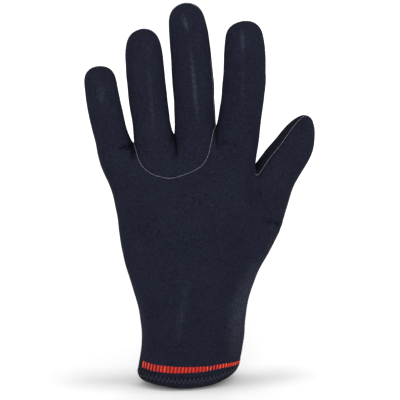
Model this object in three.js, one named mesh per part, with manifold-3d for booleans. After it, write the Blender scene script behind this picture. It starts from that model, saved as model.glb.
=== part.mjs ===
// A thin neoprene diving glove for the left hand, with the fingers up and the back of the hand to -Y.
// The origin is the middle of the wrist opening, +X points to the thumb and +Z to the fingertips.
import * as THREE from 'three';
import Module from 'manifold-3d';

const wasm = await Module();
wasm.setup();

// Cloth, in millimetres
const wall = 2.0;
const seamGap = 0.3;

// Cuff
const cuffLength = 34;
const wristWidth = 66.4;
const wristDepth = 41;
const cuffTwist = 15;
const hemHeight = 6.8;
const hemThickness = 3;
const hemProud = 0.3;
const hemRise = 3;
const bandHeight = 4.35;
const bandRise = 4.35;
const bandLiftLeft = 1.1;
const bandLiftRight = 0.8;
const bandThickness = 0.85;
const bandProud = 0.25;

// Palm, from the wrist to the web line between the fingers
const palmLength = 128;
const palmDepth = 32;
const webSlope = 11.3;
const webDrop = 12;
const webSink = 1.2;
const webGap = 1.8;

// The insert under the ring and middle fingers
const insertDepth = 25.2;

// Fingers and thumb
const pinkyWidth = 22;
const pinkyLength = 51.2;
const ringWidth = 24.6;
const ringLength = 68.8;
const middleWidth = 25.6;
const middleLength = 80;
const indexWidth = 26.8;
const indexLength = 63.2;
const thumbWidth = 28;
const thumbLength = 59.2;
const fingerFlatness = 0.86;

// The base of a finger takes this share of its full width on the knuckle line.
const baseShare = 0.96;

// Where the little finger's outer edge lies, as a share of the knuckle line's width left of the origin
const leftShare = 0.56;

const toRadians = THREE.MathUtils.degToRad;
const webRise = Math.tan(toRadians(webSlope));

// Cuff sections: height in millimetres, wide and deep are shares of the wrist's size,
// shift moves the section towards the thumb by a share of the wrist's width, turn is a share of cuffTwist.
// tilt is a share of webSlope and lifts the thumb side; rise is a share of hemRise: the hem stands on
// the front and back and is cut higher at the two sides.
// The second section's height makes the smooth surface pass the first seam at hemHeight.
const cuffMiddle = 0.6 * cuffLength;
const secondHeight = (6 * hemHeight - cuffMiddle) / 4;
const cuffSections = [
  { height: 0.35, wide: 0.905, deep: 0.98, shift: 0.003, tilt: 0.15, turn: 1.0, rise: 1.0 },
  { height: secondHeight, wide: 1.005, deep: 1.05, shift: 0.003, tilt: 0.15, turn: 1.0, rise: 0.8 },
  { height: cuffMiddle, wide: 1.00, deep: 1.02, shift: 0.04, tilt: 0.05, turn: 1.0, rise: 0 },
  { height: cuffLength, wide: 0.99, deep: 1.00, shift: 0.065, tilt: 0, turn: 0.9, rise: 0 },
];

// Palm sections: up is a share of palmLength, left and right are shares of the knuckle line's width
// from the origin, front and back are shares of palmDepth, tilt is a share of webSlope, turn is a
// share of cuffTwist, square goes from an ellipse at 0 to a boxy section at 1.
const palmSections = [
  { up: 0.165, left: 0.326, right: 0.377, front: 0.60, back: 0.62, tilt: 0.00, turn: 0.6, square: 0.1 },
  { up: 0.325, left: 0.390, right: 0.478, front: 0.55, back: 0.60, tilt: 0.20, turn: 0.3, square: 0.25 },
  { up: 0.490, left: 0.430, right: 0.645, front: 0.53, back: 0.60, tilt: 0.40, turn: 0.1, square: 0.4 },
  { up: 0.595, left: 0.436, right: 0.505, front: 0.52, back: 0.57, tilt: 0.55, turn: 0.0, square: 0.5 },
  { up: 0.700, left: 0.454, right: 0.458, front: 0.50, back: 0.53, tilt: 0.70, turn: 0.0, square: 0.6 },
  { up: 0.812, left: 0.492, right: 0.425, front: 0.48, back: 0.47, tilt: 0.85, turn: 0.0, square: 0.7 },
];

// Finger sections: along is a share of the finger's length, wide and deep are shares of its size.
const fingerSections = [
  { along: 0.11, wide: 0.95, deep: 0.97 },
  { along: 0.30, wide: 0.99, deep: 0.95 },
  { along: 0.54, wide: 0.97, deep: 0.90 },
  { along: 0.77, wide: 0.95, deep: 0.85 },
  { along: 0.93, wide: 0.82, deep: 0.69 },
];

// Thumb sections: sway moves the section sideways, away from the index finger, by a share of thumbWidth.
const thumbSections = [
  { along: 0.17, wide: 1.04, deep: 1.00, sway: -0.04 },
  { along: 0.33, wide: 0.99, deep: 0.98, sway: -0.02 },
  { along: 0.51, wide: 0.95, deep: 0.93, sway: 0.052 },
  { along: 0.70, wide: 0.86, deep: 0.84, sway: 0.085 },
  { along: 0.88, wide: 0.58, deep: 0.66, sway: 0.055 },
];

// The edge where the thumb leaves the palm, from its seam round the front to the outer side and
// back to the web: across is a share of the knuckle line's width, deep of palmDepth, up of palmLength.
const thumbRoot = [
  { name: 'seam', across: 0.430, deep: -0.25, up: 0.780 },
  { name: 'front_high', across: 0.440, deep: -0.34, up: 0.702 },
  { name: 'front_middle', across: 0.466, deep: -0.36, up: 0.615 },
  { name: 'front_low', across: 0.545, deep: -0.28, up: 0.530 },
  { name: 'outer', across: 0.618, deep: 0.08, up: 0.480 },
  { name: 'back_low', across: 0.574, deep: 0.40, up: 0.545 },
  { name: 'back_middle', across: 0.496, deep: 0.55, up: 0.615 },
  { name: 'back_high', across: 0.448, deep: 0.52, up: 0.720 },
  { name: 'back_web', across: 0.420, deep: 0.34, up: 0.840 },
  { name: 'web', across: 0.424, deep: 0.08, up: 0.884 },
];

// Folds on the back of the hand, each a soft furrow between two places: across and up are shares of
// the knuckle line's width and of palmLength, wide is a share of palmLength and deep a share of wall.
const folds = [
  { name: 'thumb_upper', across: [0.405, 0.415], up: [0.85, 0.69], wide: 0.035, deep: 0.55 },
  { name: 'thumb_lower', across: [0.415, 0.530], up: [0.69, 0.56], wide: 0.039, deep: 0.60 },
  { name: 'thumb_notch', across: [0.530, 0.620], up: [0.545, 0.53], wide: 0.028, deep: 0.90 },
  { name: 'pinky_base', across: [-0.345, -0.440], up: [0.935, 0.915], wide: 0.031, deep: 0.50 },
  { name: 'ring_middle', across: [-0.078, -0.088], up: [0.975, 0.885], wide: 0.031, deep: 0.45 },
  { name: 'index_base', across: [0.190, 0.225], up: [1.000, 0.955], wide: 0.035, deep: 0.45 },
];

// Finger placing: leanBase and leanTip are the tilt towards the thumb at the finger's two ends and
// curl is the bend towards the palm at the tip and roll the turn of its side seams, in degrees; swell is
// the share by which the finger is wider at its base; shift moves its base towards the thumb by a share
// of its width; valley and crotch move the knuckle valley and the web on its left towards the thumb by
// a share of webGap.
const placings = [
  {
    name: 'pinky',
    leanBase: -18,
    leanTip: -4,
    curl: 16,
    roll: 0,
    swell: 0,
    shift: 0,
    valley: 0,
    crotch: 0,
  },
  {
    name: 'ring',
    leanBase: -8,
    leanTip: -3,
    curl: 13,
    roll: 0,
    swell: 0,
    shift: 0,
    valley: 1.0,
    crotch: 0.75,
  },
  {
    name: 'middle',
    leanBase: 1,
    leanTip: -11,
    curl: 12,
    roll: -16,
    swell: 0.03,
    shift: 0,
    valley: 0.5,
    crotch: 0.6,
  },
  {
    name: 'index',
    leanBase: 10.8,
    leanTip: -7,
    curl: 12,
    roll: 0,
    swell: 0.03,
    shift: 0.0375,
    valley: 0.3,
    crotch: 0.2,
  },
];
const widths = [pinkyWidth, ringWidth, middleWidth, indexWidth];
const lengths = [pinkyLength, ringLength, middleLength, indexLength];
const fingers = placings.map((placing, index) => ({
  ...placing,
  width: widths[index],
  length: lengths[index],
}));
const thumbPlacing = { leanBase: 28, leanTip: 28, curlBase: 16, curlTip: 14, roll: 48, swell: 0 };

// A palm loop runs along the front points, one side point, the back points and the other side point.
const columnsPerFinger = 3;
const frontPoints = fingers.length * columnsPerFinger + 1;
const rightSide = frontPoints;
const leftSide = 2 * frontPoints + 1;
const loopPoints = leftSide + 1;
const fingerPoints = 2 * (columnsPerFinger + 1) + 2;
const thumbRows = columnsPerFinger;

// A cubic surface runs inside its net of points: these factors give a round section its stated size.
const netFactor = (points) => 3 / (2 + Math.cos((2 * Math.PI) / points));

const netPoints = [];
const netFaces = [];

function addPoint(x, y, z) {
  netPoints.push(new THREE.Vector3(x, y, z));
  return netPoints.length - 1;
}

function addFace(corners, region, side, column = 0) {
  netFaces.push({ corners, region, side, column });
}

// The knuckle line: where each finger starts and ends across the hand
const knuckleWidth = fingers.reduce((sum, finger) => sum + finger.width * baseShare, 0)
  + (fingers.length - 1) * webGap;
const leftEdge = -leftShare * knuckleWidth;
const webHeight = (x) => cuffLength + palmLength + webRise * x;

let edge = leftEdge;
for (const finger of fingers) {
  finger.left = edge;
  finger.right = edge + finger.width * baseShare;
  finger.middle = (finger.left + finger.right) / 2;
  edge = finger.right + webGap;
}
const rightEdge = fingers.at(-1).right;

// Across positions of the front points on the knuckle line
const knuckleAcross = [];
for (const finger of fingers) {
  const firstOfAll = finger === fingers[0];
  const half = (finger.right - finger.left) / 2;
  const inset = half * (1 - Math.cos(Math.PI / 5));
  knuckleAcross.push(firstOfAll ? finger.left + inset : finger.left + webGap * (finger.valley - 0.5));
  for (let column = 1; column < columnsPerFinger; column += 1) {
    const share = (2 * column) / columnsPerFinger - 1;
    knuckleAcross.push(finger.middle + share * half);
  }
}
const indexHalf = (fingers.at(-1).right - fingers.at(-1).left) / 2;
knuckleAcross.push(rightEdge - indexHalf * (1 - Math.cos(Math.PI / 5)));

// One closed loop of the palm or cuff, mixed between an ellipse and the knuckle line's own spacing
function sectionLoop({ left, right, front, back, height, slope, turn, square, rise = 0 }) {
  const middle = (left + right) / 2;
  const half = ((right - left) / 2) * netFactor(loopPoints);
  const angle = toRadians(turn);
  const place = (across, depth) => {
    const x = across - middle;
    const turned = new THREE.Vector2(x * Math.cos(angle) - depth * Math.sin(angle),
      x * Math.sin(angle) + depth * Math.cos(angle));
    const lift = rise * THREE.MathUtils.smoothstep(Math.abs(x) / half, 0.25, 1);
    return addPoint(middle + turned.x, turned.y, height + lift + slope * (middle + turned.x));
  };
  const profile = (across) => {
    const share = Math.min(1, Math.abs((across - middle) / half));
    const power = 2 + 1.6 * square;
    return (1 - share ** power) ** (1 / power);
  };
  const acrossOf = (column) => {
    const round = middle - half * Math.cos((Math.PI * (column + 1)) / (frontPoints + 1));
    const share = (knuckleAcross[column] - leftEdge) / (rightEdge - leftEdge);
    return THREE.MathUtils.lerp(round, left + share * (right - left), square);
  };
  const loop = [];
  for (let column = 0; column < frontPoints; column += 1) {
    const across = acrossOf(column);
    loop.push(place(across, -front * profile(across)));
  }
  loop.push(place(middle + half, 0));
  for (let column = frontPoints - 1; column >= 0; column -= 1) {
    const across = acrossOf(column);
    loop.push(place(across, back * profile(across)));
  }
  loop.push(place(middle - half, 0));
  return loop;
}

const loops = [];
for (const section of cuffSections) {
  const half = (section.wide * wristWidth) / 2;
  const shift = section.shift * wristWidth;
  loops.push(sectionLoop({
    left: shift - half,
    right: shift + half,
    front: (section.deep * wristDepth) / 2,
    back: (section.deep * wristDepth) / 2,
    height: section.height,
    slope: section.tilt * webRise,
    turn: section.turn * cuffTwist,
    square: 0,
    rise: section.rise * hemRise,
  }));
}
for (const section of palmSections) {
  loops.push(sectionLoop({
    left: -section.left * knuckleWidth,
    right: section.right * knuckleWidth,
    front: section.front * palmDepth,
    back: section.back * palmDepth,
    height: cuffLength + section.up * palmLength,
    slope: section.tilt * webRise,
    turn: section.turn * cuffTwist,
    square: section.square,
  }));
}

// The knuckle loop: the fingers stand on it, with a valley at each web
const knuckleFront = 0.47 * palmDepth;
const knuckleBack = 0.42 * palmDepth;
const valley = 0.80;

function knuckleLoop() {
  const loop = [];
  const depthShare = (column) => {
    if (column === 0 || column === frontPoints - 1) return 0.74;
    return column % columnsPerFinger === 0 ? valley : 1;
  };
  for (let column = 0; column < frontPoints; column += 1) {
    const x = knuckleAcross[column];
    loop.push(addPoint(x, -knuckleFront * depthShare(column), webHeight(x) - webDrop));
  }
  loop.push(addPoint(rightEdge + 0.03 * knuckleWidth, 0, webHeight(rightEdge) - 0.7 * webDrop));
  for (let column = frontPoints - 1; column >= 0; column -= 1) {
    const x = knuckleAcross[column];
    loop.push(addPoint(x, knuckleBack * depthShare(column), webHeight(x) - 0.9 * webDrop));
  }
  loop.push(addPoint(leftEdge + 0.004 * knuckleWidth, 0, webHeight(leftEdge) - 0.7 * webDrop));
  return loop;
}
loops.push(knuckleLoop());

// The thumb's root takes the place of the palm's right-hand points on four loops.
const rootTop = loops.length - 2;
const rootBottom = rootTop - thumbRows;
const rootColumns = [
  [rootTop, rightSide - 1],
  [rootTop - 1, rightSide - 1],
  [rootTop - 2, rightSide - 1],
  [rootBottom, rightSide - 1],
  [rootBottom, rightSide],
  [rootBottom, rightSide + 1],
  [rootTop - 2, rightSide + 1],
  [rootTop - 1, rightSide + 1],
  [rootTop, rightSide + 1],
  [rootTop, rightSide],
];
const thumbRing = rootColumns.map(([level, column], index) => {
  const place = thumbRoot[index];
  netPoints[loops[level][column]].set(
    place.across * knuckleWidth,
    place.deep * palmDepth,
    cuffLength + place.up * palmLength,
  );
  return loops[level][column];
});

// Palm faces, left open where the thumb leaves
for (let level = 0; level + 1 < loops.length; level += 1) {
  for (let column = 0; column < loopPoints; column += 1) {
    const next = (column + 1) % loopPoints;
    const inThumb = level >= rootBottom && level < rootTop
      && (column === rightSide - 1 || column === rightSide);
    if (inThumb) continue;
    const side = column === leftSide || column < rightSide ? 'back_of_hand' : 'palm_side';
    const lower = loops[level];
    const upper = loops[level + 1];
    const corners = [lower[column], lower[next], upper[next], upper[column]];
    addFace(corners, level === 0 ? 'hem' : 'palm', side, column);
  }
}

// A finger or the thumb: rings of points along a bent line, closed by a cap. A ring runs from the
// left side over the back of the hand to the right side and returns along the palm side.
function addFinger(name, base, start, sections, shape) {
  const { length, width, flatness, roll } = shape;
  const steps = 40;
  const direction = (share) => {
    const lean = toRadians(THREE.MathUtils.lerp(shape.leanBase, shape.leanTip, share));
    const curl = toRadians(THREE.MathUtils.lerp(shape.curlBase, shape.curlTip, share));
    const flat = Math.cos(curl);
    return new THREE.Vector3(Math.sin(lean) * flat, Math.sin(curl), Math.cos(lean) * flat);
  };
  const centreAt = (share) => {
    const centre = start.clone();
    for (let step = 0; step < steps; step += 1) {
      centre.addScaledVector(direction(((step + 0.5) / steps) * share), (length * share) / steps);
    }
    return centre;
  };
  const frameAt = (share) => {
    const axis = direction(share);
    const across = new THREE.Vector3(0, 1, 0).cross(axis).normalize();
    const depth = axis.clone().cross(across).normalize();
    return { axis, across, depth };
  };
  const ringPoint = (section, angle) => {
    const { across, depth } = frameAt(section.along);
    const swollen = 1 + shape.swell * (1 - section.along) ** 2;
    const halfWidth = (section.wide * swollen * width * netFactor(fingerPoints)) / 2;
    const halfDepth = (section.deep * width * flatness * netFactor(fingerPoints)) / 2;
    const point = centreAt(section.along)
      .addScaledVector(across, (section.sway ?? 0) * width + halfWidth * Math.cos(angle))
      .addScaledVector(depth, halfDepth * Math.sin(angle));
    return addPoint(point.x, point.y, point.z);
  };

  let ring = base;
  for (const section of sections) {
    const next = [];
    for (let index = 0; index < fingerPoints; index += 1) {
      next.push(ringPoint(section, Math.PI + roll + (2 * Math.PI * index) / fingerPoints));
    }
    for (let index = 0; index < fingerPoints; index += 1) {
      const after = (index + 1) % fingerPoints;
      const side = index <= columnsPerFinger + 1 ? 'back_of_hand' : 'palm_side';
      addFace([ring[index], ring[after], next[after], next[index]], name, side);
    }
    ring = next;
  }
  // The cap: two points on the seam join the halves of the last ring.
  const last = sections.at(-1);
  const capReach = 1.035;
  const { across, depth } = frameAt(1);
  const capPoint = (share) => {
    const sideways = (share * last.wide * width) / 2;
    const point = centreAt(capReach)
      .addScaledVector(across, (last.sway ?? 0) * width + sideways * Math.cos(roll))
      .addScaledVector(depth, sideways * Math.sin(roll));
    return addPoint(point.x, point.y, point.z);
  };
  const capLeft = capPoint(-0.42);
  const capRight = capPoint(0.42);
  const [left, f0, f1, f2, f3, right, b3, b2, b1, b0] = ring;
  addFace([left, f0, f1, capLeft], name, 'back_of_hand');
  addFace([capLeft, f1, f2, capRight], name, 'back_of_hand');
  addFace([capRight, f2, f3, right], name, 'back_of_hand');
  addFace([left, capLeft, b1, b0], name, 'palm_side');
  addFace([capLeft, capRight, b2, b1], name, 'palm_side');
  addFace([capRight, right, b3, b2], name, 'palm_side');
}

const topLoop = loops.at(-1);
const webPoints = [];
fingers.forEach((finger, index) => {
  const isLast = index === fingers.length - 1;
  const x = finger.right + webGap * (0.5 + (isLast ? 0 : fingers[index + 1].crotch));
  webPoints.push(isLast ? topLoop[rightSide] : addPoint(x, 0, webHeight(x) - webSink));
  const base = [index === 0 ? topLoop[leftSide] : webPoints[index - 1]];
  for (let column = 0; column <= columnsPerFinger; column += 1) {
    base.push(topLoop[index * columnsPerFinger + column]);
  }
  base.push(webPoints[index]);
  for (let column = columnsPerFinger; column >= 0; column -= 1) {
    base.push(topLoop[leftSide - 1 - index * columnsPerFinger - column]);
  }
  const start = new THREE.Vector3(finger.middle + finger.shift * finger.width, 0, webHeight(finger.middle));
  addFinger(finger.name, base, start, fingerSections, {
    length: finger.length,
    width: finger.width,
    flatness: fingerFlatness,
    leanBase: finger.leanBase,
    leanTip: finger.leanTip,
    curlBase: 0,
    curlTip: finger.curl,
    swell: finger.swell,
    roll: toRadians(finger.roll),
  });
});

const thumbStart = new THREE.Vector3();
for (const point of thumbRing) thumbStart.add(netPoints[point]);
thumbStart.divideScalar(thumbRing.length);
addFinger('thumb', thumbRing, thumbStart, thumbSections, {
  length: thumbLength,
  width: thumbWidth,
  flatness: fingerFlatness,
  leanBase: thumbPlacing.leanBase,
  leanTip: thumbPlacing.leanTip,
  curlBase: thumbPlacing.curlBase,
  curlTip: thumbPlacing.curlTip,
  swell: thumbPlacing.swell,
  roll: toRadians(thumbPlacing.roll),
});

// One step of Catmull-Clark subdivision on a net of four-sided faces
function neighbours(points, faces) {
  const edges = new Map();
  const around = points.map(() => ({ faces: [], edges: [] }));
  faces.forEach((face, faceIndex) => {
    face.corners.forEach((corner, index) => {
      const next = face.corners[(index + 1) % 4];
      const key = corner < next ? `${corner}_${next}` : `${next}_${corner}`;
      if (!edges.has(key)) {
        edges.set(key, { ends: [corner, next], faces: [] });
        around[corner].edges.push(key);
        around[next].edges.push(key);
      }
      edges.get(key).faces.push(faceIndex);
      around[corner].faces.push(faceIndex);
    });
  });
  return { edges, around };
}

function mean(vectors) {
  const sum = new THREE.Vector3();
  for (const vector of vectors) sum.add(vector);
  return sum.divideScalar(vectors.length);
}

function subdivide({ points, faces }) {
  const { edges, around } = neighbours(points, faces);
  const facePoints = faces.map((face) => mean(face.corners.map((corner) => points[corner])));
  const newPoints = [];
  const pointIndex = points.map((point, index) => {
    const { faces: ownFaces, edges: ownEdges } = around[index];
    if (ownFaces.length === 0) return -1;
    const rim = ownEdges.filter((key) => edges.get(key).faces.length === 1);
    const other = (key) => points[edges.get(key).ends.find((end) => end !== index)];
    if (rim.length > 0) {
      const rimSum = point.clone().multiplyScalar(6).add(other(rim[0])).add(other(rim[1]));
      newPoints.push(rimSum.divideScalar(8));
    } else {
      const count = ownFaces.length;
      const faceMean = mean(ownFaces.map((face) => facePoints[face]));
      const edgeMean = mean(ownEdges.map((key) => point.clone().add(other(key)).divideScalar(2)));
      const sum = point.clone().multiplyScalar(count - 3).add(faceMean).addScaledVector(edgeMean, 2);
      newPoints.push(sum.divideScalar(count));
    }
    return newPoints.length - 1;
  });
  const edgeIndex = new Map();
  for (const [key, edgeInfo] of edges) {
    const ends = edgeInfo.ends.map((end) => points[end]);
    const sides = edgeInfo.faces.length === 1 ? [] : edgeInfo.faces.map((face) => facePoints[face]);
    newPoints.push(mean([...ends, ...sides]));
    edgeIndex.set(key, newPoints.length - 1);
  }
  const newFaces = [];
  faces.forEach((face, faceNumber) => {
    newPoints.push(facePoints[faceNumber]);
    const centre = newPoints.length - 1;
    const edgeOf = (from, to) => edgeIndex.get(from < to ? `${from}_${to}` : `${to}_${from}`);
    face.corners.forEach((corner, index) => {
      const next = face.corners[(index + 1) % 4];
      const before = face.corners[(index + 3) % 4];
      newFaces.push({
        ...face,
        corners: [pointIndex[corner], edgeOf(corner, next), centre, edgeOf(before, corner)],
      });
    });
  });
  return { points: newPoints, faces: newFaces, pointIndex, edgeIndex };
}

// Where the smooth surface passes at each point of a net
function smoothPoints({ points, faces }) {
  const { edges, around } = neighbours(points, faces);
  return points.map((point, index) => {
    const { faces: ownFaces, edges: ownEdges } = around[index];
    const other = (key) => points[edges.get(key).ends.find((end) => end !== index)];
    const rim = ownEdges.filter((key) => edges.get(key).faces.length === 1);
    if (rim.length > 0) {
      return point.clone().multiplyScalar(4).add(other(rim[0])).add(other(rim[1])).divideScalar(6);
    }
    const count = ownFaces.length;
    const sum = point.clone().multiplyScalar(count * count);
    for (const key of ownEdges) sum.addScaledVector(other(key), 4);
    for (const face of ownFaces) {
      const { corners } = faces[face];
      sum.add(points[corners[(corners.indexOf(index) + 2) % 4]]);
    }
    return sum.divideScalar(count * (count + 5));
  });
}

function pointNormals(points, faces) {
  const normals = points.map(() => new THREE.Vector3());
  for (const { corners } of faces) {
    const [a, b, c, d] = corners.map((corner) => points[corner]);
    const normal = c.clone().sub(a).cross(d.clone().sub(b));
    for (const corner of corners) normals[corner].add(normal);
  }
  return normals.map((normal) => normal.normalize());
}

const fine = subdivide({ points: netPoints, faces: netFaces });
const skinFaces = fine.faces;
const skinPoints = smoothPoints(fine);

// The folds push the back of the hand inward.
const flatNormals = pointNormals(skinPoints, skinFaces);
skinPoints.forEach((point, index) => {
  const facing = THREE.MathUtils.smoothstep(-flatNormals[index].y, 0, 0.5);
  let push = 0;
  for (const fold of folds) {
    const [from, to] = [0, 1].map((end) => {
      const height = cuffLength + fold.up[end] * palmLength;
      return new THREE.Vector3(fold.across[end] * knuckleWidth, 0, height);
    });
    const flat = new THREE.Vector3(point.x, 0, point.z);
    const nearest = new THREE.Line3(from, to).closestPointToPoint(flat, true, new THREE.Vector3());
    const spread = flat.distanceTo(nearest) / (fold.wide * palmLength);
    push += fold.deep * wall * Math.exp(-(spread ** 2));
  }
  point.addScaledVector(flatNormals[index], -push * facing);
});
const skinNormals = pointNormals(skinPoints, skinFaces);

// Turns triangles of three vectors each into a closed mesh solid
function solidFrom(triangles) {
  const positions = [];
  const indices = [];
  const seen = new Map();
  for (const triangle of triangles) {
    for (const corner of triangle) {
      const key = corner.toArray().map((value) => value.toFixed(5)).join();
      if (!seen.has(key)) {
        seen.set(key, positions.length / 3);
        positions.push(corner.x, corner.y, corner.z);
      }
      indices.push(seen.get(key));
    }
  }
  return new wasm.Manifold(new wasm.Mesh({
    numProp: 3,
    vertProperties: new Float32Array(positions),
    triVerts: new Uint32Array(indices),
  }));
}

function geometryFrom(solid) {
  const mesh = solid.getMesh();
  const geometry = new THREE.BufferGeometry();
  const positions = new Float32Array(mesh.numVert * 3);
  for (let vertex = 0; vertex < mesh.numVert; vertex += 1) {
    for (let axis = 0; axis < 3; axis += 1) {
      positions[3 * vertex + axis] = mesh.vertProperties[mesh.numProp * vertex + axis];
    }
  }
  geometry.setAttribute('position', new THREE.BufferAttribute(positions, 3));
  geometry.setIndex(new THREE.BufferAttribute(new Uint32Array(mesh.triVerts), 1));
  geometry.computeVertexNormals();
  return geometry;
}

// A panel: the chosen faces as a wall of cloth, with its edges drawn back from the seams
function panelSolid(faces) {
  const rim = new Map();
  for (const { corners } of faces) {
    corners.forEach((corner, index) => {
      const next = corners[(index + 1) % 4];
      if (rim.has(`${next}_${corner}`)) rim.delete(`${next}_${corner}`);
      else rim.set(`${corner}_${next}`, [corner, next]);
    });
  }
  const tangents = new Map();
  for (const [from, to] of rim.values()) {
    const along = skinPoints[to].clone().sub(skinPoints[from]).normalize();
    for (const end of [from, to]) {
      if (!tangents.has(end)) tangents.set(end, new THREE.Vector3());
      tangents.get(end).add(along);
    }
  }
  const shift = new Map();
  for (const { corners } of faces) {
    const centre = mean(corners.map((corner) => skinPoints[corner]));
    for (const corner of corners) {
      if (!tangents.has(corner)) continue;
      if (!shift.has(corner)) shift.set(corner, new THREE.Vector3());
      shift.get(corner).add(centre.clone().sub(skinPoints[corner]).normalize());
    }
  }
  const outer = (corner) => {
    const point = skinPoints[corner].clone();
    if (!shift.has(corner)) return point;
    const tangent = tangents.get(corner);
    const straightness = Math.max(0.5, tangent.length() / 2);
    const inward = shift.get(corner).clone()
      .projectOnPlane(skinNormals[corner])
      .projectOnPlane(tangent.clone().normalize())
      .normalize();
    return point.addScaledVector(inward, seamGap / 2 / straightness);
  };
  const inner = (corner) => outer(corner).addScaledVector(skinNormals[corner], -wall);
  const triangles = [];
  for (const { corners } of faces) {
    const [a, b, c, d] = corners;
    triangles.push([outer(a), outer(b), outer(c)], [outer(a), outer(c), outer(d)]);
    triangles.push([inner(a), inner(c), inner(b)], [inner(a), inner(d), inner(c)]);
  }
  for (const [from, to] of rim.values()) {
    triangles.push([outer(from), inner(from), inner(to)], [outer(from), inner(to), outer(to)]);
  }
  return solidFrom(triangles);
}

// An upright block: an outline in X and Z, drawn out along Y
function cutBlock(outline, fromY, toY) {
  const shape = new THREE.Shape(outline.map(([x, z]) => new THREE.Vector2(x, z)));
  const block = new THREE.ExtrudeGeometry(shape, { depth: toY - fromY, bevelEnabled: false });
  block.rotateX(Math.PI / 2);
  block.translate(0, toY, 0);
  const position = block.getAttribute('position');
  const triangles = [];
  const cornerAt = (vertex) => new THREE.Vector3().fromBufferAttribute(position, vertex);
  for (let vertex = 0; vertex < position.count; vertex += 3) {
    triangles.push([cornerAt(vertex), cornerAt(vertex + 1), cornerAt(vertex + 2)]);
  }
  return solidFrom(triangles);
}

// The seam under the ring and middle fingers: from one knuckle valley to the other, moved out by offset
const seamFrom = skinPoints[fine.pointIndex[topLoop[columnsPerFinger]]];
const seamTo = skinPoints[fine.pointIndex[topLoop[3 * columnsPerFinger]]];
const webFrom = skinPoints[fine.pointIndex[webPoints[0]]];
const webTo = skinPoints[fine.pointIndex[webPoints[2]]];

function insertSeam(offset) {
  const low = (webFrom.z + webTo.z) / 2 - insertDepth;
  const at = (share, up) => new THREE.Vector2(
    THREE.MathUtils.lerp(seamFrom.x, seamTo.x, share),
    THREE.MathUtils.lerp(low, THREE.MathUtils.lerp(seamFrom.z, seamTo.z, share), up),
  );
  const curve = new THREE.SplineCurve([
    at(0, 1),
    at(0.07, 0.75),
    at(0.155, 0.37),
    at(0.25, 0.125),
    at(0.35, 0.03),
    at(0.44, 0.00),
    at(0.54, 0.04),
    at(0.68, 0.19),
    at(0.82, 0.40),
    at(0.92, 0.70),
    at(1, 1),
  ]);
  const steps = 28;
  const points = [];
  for (let step = 0; step <= steps; step += 1) {
    const point = curve.getPoint(step / steps);
    const along = curve.getTangent(step / steps);
    points.push([point.x + along.y * offset, point.y - along.x * offset]);
  }
  return points;
}

const isBack = (face) => face.side === 'back_of_hand' && face.region !== 'hem';
const inInsert = (face) => face.region === 'ring' || face.region === 'middle';
const frontReach = 2 * palmDepth;

// The back of the hand with the little finger, index finger and thumb
const handHole = cutBlock([
  ...insertSeam(seamGap / 2),
  [seamTo.x - wall, seamTo.z],
  [webTo.x - wall, webTo.z],
  [webFrom.x + wall, webFrom.z],
  [seamFrom.x + wall, seamFrom.z],
], -frontReach, 0);
const handWhole = panelSolid(skinFaces.filter((face) => isBack(face) && !inInsert(face)));

// The insert with the ring and middle fingers
const aboveTips = cuffLength + palmLength + middleLength + frontReach;
const insertCut = cutBlock([
  ...insertSeam(-seamGap / 2),
  [seamTo.x + wall / 2, seamTo.z + seamGap],
  [webTo.x + ringWidth, webTo.z],
  [webTo.x + ringWidth, aboveTips],
  [webFrom.x - ringWidth, aboveTips],
  [webFrom.x - ringWidth, webFrom.z],
  [seamFrom.x - wall / 2, seamFrom.z + seamGap],
], -frontReach, frontReach);
const overInsert = (face) => face.region === 'palm' && face.column >= columnsPerFinger - 1
  && face.column <= 3 * columnsPerFinger;
const insertFaces = skinFaces.filter((face) => isBack(face) && (inInsert(face) || overInsert(face)));
const insertWhole = panelSolid(insertFaces);
const insertSolid = insertWhole.intersect(insertCut);

// The cuff's loops after subdivision: rows of points round the cuff at rising heights
const edgePoint = (a, b) => fine.edgeIndex.get(a < b ? `${a}_${b}` : `${b}_${a}`);
const cuffRows = loops.slice(0, cuffSections.length).map((loop) => loop.flatMap((here, column) => {
  const next = loop[(column + 1) % loopPoints];
  return [fine.pointIndex[here], edgePoint(here, next)];
}));

// A point of the cuff's surface on one column at a given height, moved out level with the ground;
// a column between two columns lies on the straight line between them.
function cuffPoint(column, height, out) {
  const whole = Math.floor(column);
  if (whole < column) {
    return cuffPoint(whole, height, out).lerp(cuffPoint(whole + 1, height, out), column - whole);
  }
  const count = cuffRows[0].length;
  const index = (column + count) % count;
  let lower = 0;
  while (lower + 2 < cuffRows.length && skinPoints[cuffRows[lower + 1][index]].z < height) lower += 1;
  const a = cuffRows[lower][index];
  const b = cuffRows[lower + 1][index];
  const share = (height - skinPoints[a].z) / (skinPoints[b].z - skinPoints[a].z);
  const point = skinPoints[a].clone().lerp(skinPoints[b], share);
  const normal = skinNormals[a].clone().lerp(skinNormals[b], share);
  normal.z = 0;
  return point.addScaledVector(normal.normalize(), out);
}

// Sweeps a closed profile of [out, height] pairs round the cuff, closed on itself or with two flat ends
function sweepRound(columns, profileAt, closed) {
  const triangles = [];
  const section = (column) => profileAt(column).map(([out, height]) => cuffPoint(column, height, out));
  const ring = columns.map(section);
  const count = ring[0].length;
  const last = closed ? ring.length : ring.length - 1;
  for (let index = 0; index < last; index += 1) {
    const here = ring[index];
    const next = ring[(index + 1) % ring.length];
    for (let corner = 0; corner < count; corner += 1) {
      const after = (corner + 1) % count;
      triangles.push([here[corner], next[corner], next[after]]);
      triangles.push([here[corner], next[after], here[after]]);
    }
  }
  if (!closed) {
    for (let corner = 1; corner + 1 < count; corner += 1) {
      triangles.push([ring[0][0], ring[0][corner], ring[0][corner + 1]]);
      triangles.push([ring.at(-1)[0], ring.at(-1)[corner + 1], ring.at(-1)[corner]]);
    }
  }
  return solidFrom(triangles);
}

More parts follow.
